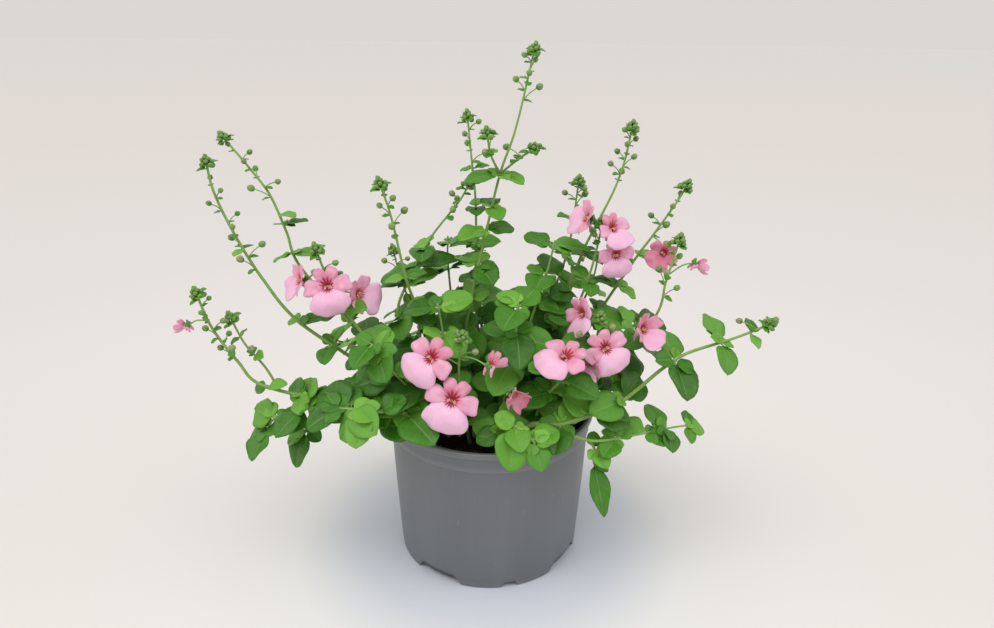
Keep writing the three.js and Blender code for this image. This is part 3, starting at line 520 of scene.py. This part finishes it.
def petal_material():
    """Pink with fine veins and a crimson throat. Shade: throat, deepness, tone."""
    made = material("petal_pink", 0.55, 0.3, 0.15, (1.0, 0.5, 0.6))
    nodes = Nodes(made)
    throat, deep, tone = nodes.shade()
    pale = nodes.mix(tone, (0.84, 0.5, 0.71), (0.82, 0.45, 0.65))
    base = nodes.mix(deep, pale, (0.6, 0.17, 0.26))
    cloud = nodes.noise(220, 3)
    base = nodes.mix(nodes.ramp(cloud, (0.4, 0.0), (0.75, 0.4)), base, (0.9, 0.6, 0.74))
    veins = nodes.ramp(nodes.noise(700, 2, 0.7), (0.48, 0.0), (0.52, 0.22), (0.56, 0.0))
    base = nodes.mix(veins, base, (0.7, 0.2, 0.36))
    streaks = nodes.math("ADD", throat, nodes.math("MULTIPLY", nodes.noise(900, 2), 0.35))
    nodes.colour(nodes.mix(nodes.ramp(streaks, (0.5, 0.0), (0.9, 1.0)), base, (0.36, 0.02, 0.05)))
    nodes.bump(nodes.noise(1400, 3), 0.3, 0.25 * MM)
    return made


def anther_material():
    made = material("anther_yellow", 0.6, 0.3)
    nodes = Nodes(made)
    nodes.colour(nodes.ramp(nodes.noise(1800, 2), (0.35, (0.75, 0.6, 0.18)), (0.7, (0.5, 0.32, 0.08))))
    nodes.bump(nodes.noise(3000, 2), 0.4, 0.1 * MM)
    return made


def pot_material():
    """Matt grey moulded plastic with faint flow marks, scuffs, a dusting of soil, and a painted
    highlight in lighter grey along its edges.
    """
    made = material("pot_plastic_grey", 0.5, 0.75)
    nodes = Nodes(made)
    soil, edge_highlight, _ = nodes.shade()
    flow = nodes.noise(35, 4, 0.6, stretch=(1, 1, 0.18))
    base = nodes.ramp(flow, (0.3, (0.11, 0.122, 0.137)), (0.7, (0.131, 0.145, 0.161)))
    scuff = nodes.ramp(nodes.noise(420, 5, 0.75, stretch=(1, 1, 0.35)), (0.6, 0.0), (0.74, 0.28))
    base = nodes.mix(scuff, base, (0.27, 0.275, 0.28))
    # painted highlight: the pot's rim, shoulder and foot edges are painted a lighter grey
    base = nodes.mix(nodes.math("MULTIPLY", edge_highlight, 0.35), base, (0.3, 0.305, 0.31))
    dust = nodes.math("MULTIPLY", soil, nodes.ramp(nodes.noise(600, 4, 0.7), (0.42, 0.0), (0.6, 1.0)))
    nodes.colour(nodes.mix(dust, base, (0.05, 0.037, 0.026)))
    nodes.roughness(nodes.ramp(flow, (0.3, 0.36), (0.7, 0.48)))
    dents = nodes.math("MULTIPLY", scuff, -0.5)
    nodes.bump(nodes.math("ADD", nodes.noise(2200, 2), dents), 0.16, 0.15 * MM)
    return made


def mix_material():
    """Damp peat and bark, dark brown to black with a few pale fibres. Shade: tone."""
    made = material("potting_mix_dark", 0.92, 0.2)
    nodes = Nodes(made)
    tone, _, _ = nodes.shade()
    browns = (0.0, (0.009, 0.007, 0.006)), (0.7, (0.03, 0.021, 0.015)), (1.0, (0.085, 0.055, 0.034))
    base = nodes.ramp(tone, *browns)
    grain = nodes.ramp(nodes.noise(900, 4, 0.7), (0.4, 0.0), (0.75, 0.55))
    nodes.colour(nodes.mix(grain, base, (0.055, 0.038, 0.025)))
    nodes.bump(nodes.noise(1300, 5, 0.7), 0.9, 0.6 * MM)
    return made


def perlite_material():
    made = material("perlite_white", 0.9, 0.2)
    nodes = Nodes(made)
    nodes.colour(nodes.ramp(nodes.noise(1500, 3), (0.3, (0.42, 0.39, 0.34)), (0.7, (0.66, 0.63, 0.58))))
    nodes.bump(nodes.noise(2500, 3), 0.6, 0.3 * MM)
    return made


LEAF = leaf_material()
STEM = stem_material()
BUD = bud_material()
PETAL = petal_material()
ANTHER = anther_material()
POT = pot_material()
MIX = mix_material()
PERLITE = perlite_material()

# ---- Leaves ----


def half_width(share):
    """A broad egg-shaped outline: round at its base, widest below the middle, blunt at its tip."""
    return max(math.sin(math.pi * share**0.78), 0) ** 0.56


def leaf_pose(base, azimuth, rise, tilt):
    """Which way a leaf points and which way its face looks: up, and out from the plant's rear."""
    lean = Vector((LEAN_ACROSS * base.x, base.y - LEAN_CENTRE, 0)).normalized()
    low = min(max((TILT_TOP - base.z) / TILT_RANGE, LEAST_TILT), 1)
    tilt = math.radians(LEAF_TILT * low + tilt)
    light = Vector((0, 0, math.cos(tilt))) + lean * math.sin(tilt)
    along = direction(azimuth, rise)
    along = (along - light * along.dot(light) * LEAF_DROOP).normalized()
    face = (light - along * along.dot(light)).normalized()
    return along, face.cross(along), face


def leaf(shape, base, azimuth, rise, tilt, length, tone, key, broad=1):
    """One leaf on its stalk: cupped, folded along its midrib, with low teeth on its edge."""
    length *= MM
    along, side, face = leaf_pose(base, azimuth, rise, tilt)
    petiole = PETIOLE_SHARE * length
    half = LEAF_WIDTH * length * broad / 2
    fold = 0.16 + 0.1 * wobble(key)
    droop = 0.16 + 0.12 * wobble(key + 1)
    ripple = 0.03 + 0.015 * wobble(key + 2)
    bend = 0.06 * wobble(key + 3)
    top = []
    shades = []
    for row in range(LEAF_ROWS):
        share = row / (LEAF_ROWS - 1)
        width = half * half_width(share) * (1 + (0.012 if row % 2 else -0.008))
        width = max(width, 0.4 * MM * (1 - share) + 0.1 * MM)
        line = []
        tones = []
        for column in range(LEAF_COLUMNS):
            across = 2 * column / (LEAF_COLUMNS - 1) - 1
            away = abs(across)
            lift = fold * away * width * (1 - 0.5 * away) * 2
            lift -= droop * length * share**2
            lift += ripple * length * away**2 * math.sin(9 * share + 2 * across + key)
            lift -= 0.018 * length * math.exp(-(across / 0.12) ** 2)
            quilt = math.cos(2 * math.pi * (share - 0.22 * away) / 0.15)
            lift += 0.006 * length * quilt * away * (1 - away)
            point = base + along * (petiole + length * share * (1 - 0.1 * droop))
            point = point + side * (across * width + bend * length * share**2) + face * lift
            line.append(point)
            tones.append((tone, away, share))
        top.append(line)
        shades.append(tones)
    under = [[point - face * LEAF_THICKNESS for point in line] for line in top]
    rows = [[*line, *reversed(low)] for line, low in zip(top, under)]
    tones = [[*line, *reversed(line)] for line in shades]
    shape.grid(rows, tones, closed=True)
    shape.cap(rows[0], shades[0][0], flip=True)
    shape.cap(rows[-1], shades[-1][0])
    stalk = [base, base + along * petiole * 0.5 - face * 0.1 * petiole, base + along * (petiole * 1.1)]
    return stalk


def leaf_pairs(route, plan, seed):
    """Pairs stand opposite each other, each pair a quarter turn on from the one below it."""
    leaves = []
    for pair in range(plan["pairs"]):
        share = pair / (plan["pairs"] - 1) if plan["pairs"] > 1 else 0
        place = plan["span"][0] + (plan["span"][1] - plan["span"][0]) * share
        for side in range(2):
            key = seed + 3 * pair + 7 * side
            azimuth = plan["turn"] + 90 * pair + 180 * side + 14 * wobble(key)
            rise = 12 + 16 * wobble(key + 1)
            size = plan["leaf"][0] + (plan["leaf"][1] - plan["leaf"][0]) * share
            size *= 1 + 0.1 * wobble(key + 3)
            leaves.append((route.at(place), azimuth, rise, 14 * wobble(key + 2), size, key))
    return leaves


def petiole(stems, stalk):
    tube(stems, stalk, [0.55 * MM, 0.5 * MM, 0.4 * MM], 6, [PETIOLE_SHADE] * 3)


def points_of(route):
    return [Vector(point) * MM for point in route]


# ---- Buds ----


def bud(shape, centre, way, radius, pink, tone):
    """A pointed bud wrapped in five sepals."""
    side = way.orthogonal().normalized()
    other = way.cross(side)
    rows = []
    shades = []
    steps = 10
    levels = 7
    for level in range(levels):
        share = level / (levels - 1)
        angle = math.pi * (0.04 + 0.93 * share)
        height = -math.cos(angle) * radius * (1.15 + 0.15 * share)
        width = math.sin(angle) * radius
        row = []
        tones = []
        for step in range(steps):
            turn = 2 * math.pi * step / steps
            ridge = 0.5 + 0.5 * math.cos(5 * turn)
            reach = width * (1 + 0.13 * ridge * math.sin(angle))
            out = side * math.cos(turn) + other * math.sin(turn)
            row.append(centre + way * height + out * reach)
            sepal = 1.0 if share < 0.45 else ridge * (1.6 - share)
            tones.append((min(max(sepal, 0), 1), pink, tone))
        rows.append(row)
        shades.append(tones)
    shape.grid(rows, shades, closed=True)
    shape.cap(rows[0], shades[0][0], flip=True)
    shape.cap(rows[-1], shades[-1][0])


def spike(buds, leaves, stems, route, plan, seed):
    """A bud spike: a few loose buds on long stalks, each over a small bract, and a tight tip."""
    chance = random.Random(seed)
    share = plan["spike"]
    count = plan["buds"]
    for index in range(count):
        part = index / count
        start = route.at(1 - share * (1 - 0.9 * part))
        azimuth = GOLDEN_ANGLE * (index + seed)
        rise = 20 + 24 * chance.random() + 15 * part
        reach = (8.5 - 4.5 * part) * MM * (0.8 + 0.4 * chance.random())
        way = direction(azimuth, rise)
        end = start + way * reach
        middle = start.lerp(end, 0.5) + Vector((0, 0, 0.6 * MM))
        tube(stems, [start, middle, end], [PEDICEL_RADIUS] * 3, 5, [(0.5, 0.9, 0)] * 3)
        radius = (1.65 - 0.45 * part) * MM * (0.9 + 0.25 * chance.random())
        nod = (way + Vector((0, 0, -0.2))).normalized()
        pink = 0.6 * chance.random() * (1 - part)
        bud(buds, end + nod * radius * 0.8, nod, radius, pink, chance.random())
        bract = (2.8 + 1.6 * (1 - part)) * (0.9 + 0.2 * chance.random())
        leaf(leaves, start, azimuth + 6, rise - 28, 0, bract, 0.6, seed + index)
    tip = route.at(1)
    up = route.way(1)
    side = up.orthogonal().normalized()
    other = up.cross(side)
    tight = 15
    for index in range(tight):
        part = index / (tight - 1)
        turn = math.radians(GOLDEN_ANGLE * index)
        out = 2.7 * MM * (1 - part**2) * (0.75 + 0.5 * chance.random())
        spread = side * math.cos(turn) + other * math.sin(turn)
        centre = tip + up * (-3.2 + 5.4 * part) * MM + spread * out
        way = (up * (0.4 + part) + spread).normalized()
        bud(buds, centre, way, (1.25 - 0.35 * part) * MM, 0, 0.2 + 0.8 * chance.random())
    for index in range(5):
        turn = GOLDEN_ANGLE * index + seed
        place = tip - up * (1 + 0.8 * index) * MM
        leaf(leaves, place, turn, 30, 0, 4.2 + chance.random(), 0.6, seed + index)


# ---- Shoots ----


def stem(shape, route, start, end, radius, tip, joints=()):
    """A stem tapering from radius to tip, slightly swollen at its joints."""
    steps = max(3, int(route.length * (end - start) / STEM_STEP))
    line = []
    radii = []
    shades = []
    for index in range(steps + 1):
        share = start + (end - start) * index / steps
        away = [(share - joint) * route.length / (1.3 * MM) for joint in sorted(set(joints))]
        swell = sum(0.35 * math.exp(-(gap**2)) for gap in away)
        line.append(route.at(share))
        radii.append((radius + (tip - radius) * share) * (1 + swell))
        shades.append((0.5 + 0.5 * wobble(index), share, 0))
    tube(shape, line, radii, STEM_SIDES, shades, ridges=0.1)


def leaf_joints(plan):
    last = max(plan["pairs"] - 1, 1)
    low, high = plan["span"]
    return [low + (high - low) * pair / last for pair in range(plan["pairs"])]


def shoot(plan, index):
    seed = 5 * index
    stems = Shape()
    leaves = Shape()
    buds = Shape()
    route = Route(points_of(plan["route"]))
    thick = STEM_RADIUS * plan.get("thick", 1)
    stem(stems, route, 0, 1, thick, TIP_RADIUS, leaf_joints(plan))
    grown = leaf_pairs(route, plan, seed)
    for place, azimuth, rise, length in plan.get("single", ()):
        grown.append((route.at(place), azimuth, rise, 0, length, seed + len(grown)))
    for number, twig in enumerate(plan.get("twigs", ())):
        branch = Route([route.at(twig["from"]), *points_of(twig["route"])])
        stem(stems, branch, 0, 1, TWIG_RADIUS, TIP_RADIUS)
        growth = {**twig, "span": [0.5, 1], "turn": plan["turn"] + 45}
        grown.extend(leaf_pairs(branch, growth, seed + 11 * (number + 1)))
        for azimuth, rise, length, broad in twig.get("end", ()):
            stalk = leaf(leaves, branch.at(1), azimuth, rise, 0, length, 0.35, seed + number, broad)
            petiole(stems, stalk)
        if twig["leaf"][1] < 6:
            spike(buds, leaves, stems, branch, {"spike": 0.4, "buds": 1}, seed + number + 1)
    for base, azimuth, rise, tilt, length, key in grown:
        tone = 0.52 + 0.3 * wobble(1.7 * key) + 0.012 * (16 - length)
        stalk = leaf(leaves, base, azimuth, rise, tilt, length, tone, key)
        petiole(stems, stalk)
        if length > AXIL_LEAST:
            for side in (-1, 1):
                small = length * (AXIL_SHARE + 0.14 * wobble(key + 5 * side))
                turn = azimuth + side * (34 + 14 * wobble(key + 6))
                lift = 36 + 18 * wobble(key + 7 * side)
                stalk = leaf(leaves, base, turn, lift, 0, small, tone + 0.16, key + 9)
                tube(stems, stalk, [0.4 * MM, 0.35 * MM, 0.3 * MM], 5, [PETIOLE_SHADE] * 3)
    if plan["spike"] > 0:
        spike(buds, leaves, stems, route, plan, seed)
    name = plan["name"]
    stems.build(f"stem_{name}", STEM, [f"shoot_{name}"])
    leaves.build(f"leaves_{name}", LEAF, [f"shoot_{name}"])
    if buds.points:
        buds.build(f"buds_{name}", BUD, [f"shoot_{name}"])
    return route


# ---- Flowers ----


def lobe_reach(angle):
    """How far the corolla reaches at an angle, and how deep its pink is there."""
    reach = 0.45
    deep = 0.5
    for lobe in LOBES:
        away = abs((angle - lobe["angle"] + 180) % 360 - 180)
        share = min(away / lobe["half"], 1)
        here = lobe["reach"] * (1 - share**3) ** 0.5
        if here > reach:
            reach = here
            deep = lobe["deep"]
    return reach, deep


def flower(plan, routes, index):
    """Five joined lobes around a crimson throat, two spurs, five sepals and a stalk."""
    chance = random.Random(100 + index)
    facing = direction(*plan["face"])
    right = Vector((0, 0, 1)).cross(facing).normalized()
    spin = Matrix.Rotation(math.radians(plan["spin"]), 3, facing)
    top = spin @ facing.cross(right)
    right = spin @ right
    centre = Vector(plan["at"]) * MM
    size = plan["size"] * MM
    shut = 1 - plan["open"]

    def spot(x, y, z):
        return centre + right * x + top * y + facing * z

    petals = Shape()
    faded = 0.8 if plan["name"] in ("front_faded", "right_salmon") else 0.0
    tone = chance.random()
    rows = []
    shades = []
    for level in range(PETAL_ROWS):
        share = level / (PETAL_ROWS - 1)
        row = []
        tones = []
        for step in range(PETAL_STEPS):
            angle = 360 * step / PETAL_STEPS - 90
            turn = math.radians(angle)
            reach, lobe_deep = lobe_reach(angle)
            ruffle = noise.noise(Vector((3 * math.cos(turn), 3 * math.sin(turn), 7 * index)))
            radius = size * reach * (0.04 + 0.96 * share) * (1 + 0.08 * ruffle * share)
            bent = 0.001 + 2.1 * shut * radius / size
            flat = radius * math.sin(bent) / bent
            x = flat * math.cos(turn) * (1 + LIP_SPREAD * max(-math.sin(turn), 0))
            y = flat * math.sin(turn)
            cup = radius * (1 - math.cos(bent)) / bent + 0.1 * size * (radius / size) ** 1.5
            dip = -0.2 * size * math.exp(-((radius / (0.2 * size)) ** 2))
            lip = 0.14 * size * max(-math.sin(turn), 0) * math.sin(math.pi * min(radius / size, 1))
            curl = -0.2 * size * (1 - shut) * share**4
            ripple = (0.07 + 0.16 * faded) * size * share**2
            ripple *= noise.noise(Vector((2.6 * x / size, 2.6 * y / size, 3 * index))) * 2
            row.append(spot(x, y, cup + dip + lip + curl + ripple))
            above = max(math.sin(turn), 0)
            rays = 0.75 + 0.25 * math.cos(14 * turn)
            throat = rays * math.exp(-((radius / ((0.19 + 0.17 * above) * size)) ** 2)) * 1.5
            inner = math.exp(-((radius / (0.45 * size)) ** 2))
            deep = min(lobe_deep * (0.62 + 0.6 * inner) + 0.1 * inner + 0.25 * shut + faded, 1)
            tones.append((min(throat, 1), deep, tone))
        rows.append(row)
        shades.append(tones)
    under = [[point - facing * 0.3 * MM for point in row] for row in reversed(rows)]
    petals.grid([*rows, *under], [*shades, *reversed(shades)], closed=True)
    spur = SPUR_LENGTH * min(1, plan["size"] / 14)
    for side in (-1, 1):
        line = []
        radii = []
        for step in range(7):
            share = step / 6
            x = side * size * (0.14 + 0.1 * share)
            y = size * 0.02 - spur * (0.15 * share + 0.5 * share**2)
            line.append(spot(x, y, -0.12 * size - spur * (share - 0.25 * share**2)))
            radii.append((1.35 - 0.85 * share) * MM)
        tube(petals, line, radii, 8, [(0.0, 0.35 + 0.3 * step / 6, tone) for step in range(7)])
    name = plan["name"]
    petals.build(f"corolla_{name}", PETAL, [f"flower_{name}"])

    stamens = Shape()
    for number in range(4):
        x = (number - 1.5) * 0.055 * size
        base = spot(x, 0.06 * size, -0.14 * size)
        end = spot(x * 0.8, 0.0, 0.01 * size)
        filament = [base, base.lerp(end, 0.6) + top * 0.03 * size, end]
        tube(stamens, filament, [0.16 * MM] * 3, 5, [(0, 0, 0)] * 3)
        tube(stamens, [end, end + facing * 0.3 * MM, end + facing * 0.6 * MM],
             [0.1 * MM, 0.22 * MM, 0.1 * MM], 6, [(0, 0, 0)] * 3)
    stamens.build(f"stamens_{name}", ANTHER, [f"flower_{name}"])

    green = Shape()
    sepals = Shape()
    back = spot(0, 0.12 * size, -0.33 * size)
    root = routes[plan["shoot"]].at(plan["along"])
    arch = root.lerp(back, 0.55) + Vector((0, 0, 1.6 * MM))
    line = Route([root, arch, back])
    tube(green, [line.at(step / 8) for step in range(9)], [0.42 * MM] * 9, 6, [(0.5, 0.8, 0)] * 9)
    for number in range(5):
        angle = 90 + 72 * number
        way = right * math.cos(math.radians(angle)) + top * math.sin(math.radians(angle))
        tip = back + way * 3 * MM + facing * 0.8 * MM
        radii = [0.5 * MM, 0.95 * MM, 0.8 * MM, 0.15 * MM]
        places = [back + (tip - back) * share for share in (0, 0.35, 0.7, 1)]
        tube(sepals, places, radii, 6, [(1, 0, 0.6)] * 4)
    green.build(f"stalk_{name}", STEM, [f"flower_{name}"])
    sepals.build(f"calyx_{name}", BUD, [f"flower_{name}"])


# ---- Pot ----


def notch_height(angle):
    """Height of the foot ring's lower edge at an angle around the pot, in millimetres."""
    height = 0.0
    for first, count, width, top, rise in POT_NOTCHES:
        for index in range(count):
            away = abs((angle - first - 360 * index / count + 180) % 360 - 180)
            across = POT_BASE * math.radians(away)
            slope = (width / 2 - across) / ((width - top) / 2)
            height = max(height, rise * min(max(slope, 0), 1))
    return height


def pot_profile(rim, tall):
    """The pot's section in millimetres, from under its middle, out and up, and back inside.

    Each point is radius, height, whether it is on the foot, and how much painted highlight its edge
    gets.
    """
    lip = tall - POT_LIP
    shoulder = tall - POT_SHOULDER
    floor = POT_FLOOR
    base = POT_BASE
    inner = POT_WALL

    def wall(height):
        return base + (rim - 1.6 - base) * height / lip

    profile = [
        (0, 0, 0, 0),
        (12.2, 0, 0, 0),
        (13.4, 0.5, 0, 0),
        (18.6, floor - 0.4, 0, 0),
        (19.4, floor, 0, 0),
        (wall(floor) - inner - 0.6, floor, 0, 0),
        (wall(floor) - inner, floor - 0.6, 0, 0),
        (wall(3) - inner, 3, 0, 0),
        (base - inner, 0.2, 1, 0),
        (base - inner / 2, 0, 1, 1),
        (base - 0.15, 0.15, 1, 1),
        (base + 0.05, 0.7, 1, 0.4),
        (wall(4), 4, 1, 0),
        (wall(8), 8, 0, 0),
    ]
    steps = 10
    for step in range(1, steps + 1):
        height = 8 + (shoulder - 0.8 - 8) * step / steps
        profile.append((wall(height) - 0.7 * (step / steps) ** 3, height, 0, 0))
    profile += [
        (wall(shoulder) - 0.66, shoulder - 0.25, 0, 0),
        (wall(shoulder) - 0.2, shoulder + 0.25, 0, 1),
        (wall(shoulder) + 0.05, shoulder + 0.8, 0, 0.6),
        (wall(shoulder + 4), shoulder + 4, 0, 0),
        (wall(lip) - 0.05, lip - 0.7, 0, 0),
        (wall(lip) + 0.3, lip - 0.12, 0, 0),
        (rim - 0.5, lip, 0, 0.5),
        (rim - 0.1, lip + 0.3, 0, 1),
        (rim, lip + 0.9, 0, 0.4),
        (rim, tall - 0.9, 0, 0.4),
        (rim - 0.2, tall - 0.3, 0, 1),
        (rim - 0.7, tall, 0, 1),
        (rim - 2.0, tall, 0, 0.6),
        (rim - 2.7, tall - 0.4, 0, 0.6),
        (rim - 2.95, tall - 1.4, 0, 0),
        (rim - 3.4, tall - 6, 0, 0),
        (rim - 3.9, tall - 12, 0, 0),
        (wall(floor) - 2.2, floor + 2.4, 0, 0),
        (wall(floor) - 3.6, floor + inner, 0, 0),
        (18, floor + inner, 0, 0),
        (12, inner, 0, 0),
        (0, inner, 0, 0),
    ]
    return profile


def pot():
    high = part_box("pot")[1]
    profile = pot_profile(high[0] / MM, high[2] / MM)
    shape = Shape()
    rows = []
    shades = []
    inner_from = len(profile) - 7
    for number, (radius, height, foot, edge_highlight) in enumerate(profile):
        row = []
        tones = []
        for step in range(POT_STEPS):
            angle = 360 * step / POT_STEPS
            turn = math.radians(angle)
            lift = notch_height(angle)
            raised = height
            if foot and lift > height:
                raised = lift + 0.15 * height
            reach = max(radius, 0.02)
            row.append(Vector((reach * math.cos(turn), reach * math.sin(turn), raised)) * MM)
            soil = 0.85 if number >= inner_from else 0.0
            if foot or height < 6:
                soil = 0.12
            # the second number is the edge's painted highlight
            tones.append((soil, edge_highlight, 0))
        rows.append(row)
        shades.append(tones)
    shape.grid(rows, shades, closed=True)
    piece = shape.build("pot_body", POT, ["pot"])
    cutter = bpy.data.meshes.new("holes")
    holes = Shape()
    for index in range(4):
        turn = math.radians(-123 + 90 * index)
        spot = Vector((HOLE_CIRCLE * math.cos(turn), HOLE_CIRCLE * math.sin(turn), 0))
        line = [spot + Vector((0, 0, 5 * MM)), spot + Vector((0, 0, 11 * MM))]
        tube(holes, line, [HOLE_RADIUS] * 2, 32, [(0, 0, 0)] * 2)
    cutter.from_pydata([tuple(point) for point in holes.points], [], holes.faces)
    knife = bpy.data.objects.new("holes", cutter)
    bpy.context.collection.objects.link(knife)
    cut = piece.modifiers.new("drainage", "BOOLEAN")
    cut.object = knife
    cut.solver = "EXACT"
    whole = bpy.data.meshes.new_from_object(piece.evaluated_get(bpy.context.evaluated_depsgraph_get()))
    piece.modifiers.clear()
    piece.data = whole
    bpy.data.objects.remove(knife)


# ---- Potting mix ----


MIX_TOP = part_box("potting_mix")[1]


def mix_height(x, y):
    """Height of the mix's crumbly surface at a place, in metres."""
    reach = MIX_TOP[0]
    share = min(math.hypot(x, y) / reach, 1)
    level = MIX_TOP[2] - 0.6 * MM - 2.5 * MM * share**1.5
    place = Vector((x, y, 0)) / MM
    waves = (1.1, 0.09), (0.8, 0.3), (0.5, 0.9)
    rough = sum(height * noise.noise(place * pace) for height, pace in waves)
    return level + rough * MM * (1 - 0.5 * share**6)


def potting_mix():
    reach = MIX_TOP[0]
    shape = Shape()
    rows = []
    shades = []
    for level in range(MIX_RINGS + 1):
        share = (level + 0.2) / MIX_RINGS
        row = []
        tones = []
        for step in range(MIX_STEPS):
            turn = 2 * math.pi * step / MIX_STEPS
            x = reach * min(share, 1) * math.cos(turn)
            y = reach * min(share, 1) * math.sin(turn)
            row.append(Vector((x, y, mix_height(x, y))))
            tones.append((0.35 + 0.35 * noise.noise(Vector((x, y, 0)) / MM * 0.5), 0, 0))
        rows.append(row)
        shades.append(tones)
    for share, height in ((1.0, 60), (0.93, 10), (0.36, 9.5), (0.2, 2.2), (0.001, 2.2)):
        row = []
        for step in range(MIX_STEPS):
            turn = 2 * math.pi * step / MIX_STEPS
            away = reach * share * MIX_SHRINK
            row.append(Vector((away * math.cos(turn), away * math.sin(turn), height * MM)))
        rows.append(row)
        shades.append([(0.2, 0, 0)] * MIX_STEPS)
    shape.grid([*reversed(rows)], [*reversed(shades)], closed=True)
    shape.build("mix_body", MIX, ["potting_mix"])
    crumbs(reach, "mix_crumbs", MIX, 900, (0.5, 1.9), 7)
    crumbs(reach, "mix_perlite", PERLITE, 26, (0.6, 1.1), 8)


def crumbs(reach, name, look, count, sizes, seed):
    """Loose crumbs and chips of bark lying on the mix."""
    chance = random.Random(seed)
    shape = Shape()
    for _ in range(count):
        turn = chance.uniform(0, 2 * math.pi)
        away = (reach - 1.5 * MM) * math.sqrt(chance.random())
        x = away * math.cos(turn)
        y = away * math.sin(turn)
        size = chance.uniform(*sizes) * MM
        centre = Vector((x, y, mix_height(x, y) + 0.25 * size))
        way = direction(chance.uniform(0, 360), chance.uniform(-25, 25))
        stretch = chance.uniform(1, 2.4)
        line = [centre + way * size * stretch * (share - 0.5) for share in (0, 0.3, 0.7, 1)]
        swollen = [size * chance.uniform(0.5, 0.7) for _ in range(2)]
        radii = [0.35 * size, *swollen, 0.3 * size]
        tube(shape, line, radii, 5, [(chance.random(), 0, 0)] * 4)
    shape.build(name, look, ["potting_mix"])


# ---- Studio: camera, floor and lights ----


CAMERA_PLACE = (0, -0.3807, 0.2889)
CAMERA_LENS = 26.44
CAMERA_YAW = -0.51
CAMERA_DOWN = 20.83
CAMERA_ROLL = 0.75


def camera():
    view = bpy.data.cameras.new("camera")
    view.sensor_width = 36
    view.lens = CAMERA_LENS
    view.clip_start = 0.01
    eye = bpy.data.objects.new("camera", view)
    bpy.context.collection.objects.link(eye)
    yaw = Matrix.Rotation(math.radians(CAMERA_YAW), 4, "Z")
    tilt = Matrix.Rotation(math.radians(90 - CAMERA_DOWN), 4, "X")
    roll = Matrix.Rotation(math.radians(CAMERA_ROLL), 4, "Z")
    eye.matrix_world = Matrix.Translation(CAMERA_PLACE) @ yaw @ tilt @ roll
    bpy.context.scene.camera = eye


# The floor's colour at each distance from the pot, in metres, is painted light and shade: cooler near
# it, with a bluish painted shadow round the pot and a brighter painted ring beyond it that lightens the
# contact shadow, then paler and darker further off as painted falloff.
FLOOR_REACH = 40
FLOOR_STEPS = 64
FLOOR_FAR = 10
FLOOR_PAINTED_LIGHT_AND_SHADE = (
    (0.072, (0.575, 0.615, 0.70)),
    (0.108, (0.75, 0.75, 0.752)),
    (0.225, (0.715, 0.69, 0.68)),
    (0.35, (0.68, 0.655, 0.65)),
    (0.675, (0.632, 0.615, 0.607)),
    (2.0, (0.605, 0.573, 0.562)),
    (FLOOR_FAR, (0.575, 0.563, 0.556)),
)


def floor():
    made = material("floor_pale_painted_shade", 0.8, 0.15)
    nodes = Nodes(made)
    away = nodes.add("ShaderNodeVectorMath", operation="LENGTH")
    nodes.link(nodes.place, away.inputs[0])
    near = nodes.math("MULTIPLY", away.outputs["Value"], 1 / FLOOR_FAR)
    # painted light and shade: the floor's colour follows the distance from the pot
    nodes.colour(nodes.ramp(near, *[(metres / FLOOR_FAR, colour) for metres, colour in FLOOR_PAINTED_LIGHT_AND_SHADE]))
    mesh = bpy.data.meshes.new("floor")
    turns = [math.tau * step / FLOOR_STEPS for step in range(FLOOR_STEPS)]
    ring = [(FLOOR_REACH * math.cos(turn), FLOOR_REACH * math.sin(turn), -0.2 * MM) for turn in turns]
    mesh.from_pydata(ring, [], [tuple(range(FLOOR_STEPS))])
    mesh.materials.append(made)
    ground = bpy.data.objects.new("floor", mesh)
    bpy.context.collection.objects.link(ground)


def sun(name, azimuth, rise, spread, power, colour):
    """A broad soft light from far away, so that the floor is lit evenly."""
    light = bpy.data.lights.new(name, "SUN")
    light.angle = math.radians(spread)
    light.energy = power
    light.color = colour
    made = bpy.data.objects.new(name, light)
    made.rotation_euler = direction(azimuth, rise).to_track_quat("Z", "Y").to_euler()
    bpy.context.collection.objects.link(made)


def studio():
    world = bpy.data.worlds.new("studio")
    world.use_nodes = True
    sky = world.node_tree.nodes["Background"]
    sky.inputs["Color"].default_value = (0.71, 0.68, 0.65, 1)
    sky.inputs["Strength"].default_value = 1.0
    bpy.context.scene.world = world
    sun("key", -110, 62, 50, 0.9, (1.0, 0.99, 0.96))
    sun("left", -168, 38, 50, 0.75, (1.0, 1.0, 0.99))
    sun("right", -14, 38, 50, 0.75, (0.97, 0.99, 1.0))
    bpy.context.scene.view_settings.view_transform = "Standard"


# ---- Assembly ----

camera()
studio()
floor()
pot()
potting_mix()
routes = {}
for number, row in enumerate(SHOOTS):
    routes[row[0]] = shoot(dict(zip(SHOOT_FIELDS, row)), number)
for number, row in enumerate(FLOWERS):
    flower(dict(zip(FLOWER_FIELDS, row)), routes, number)
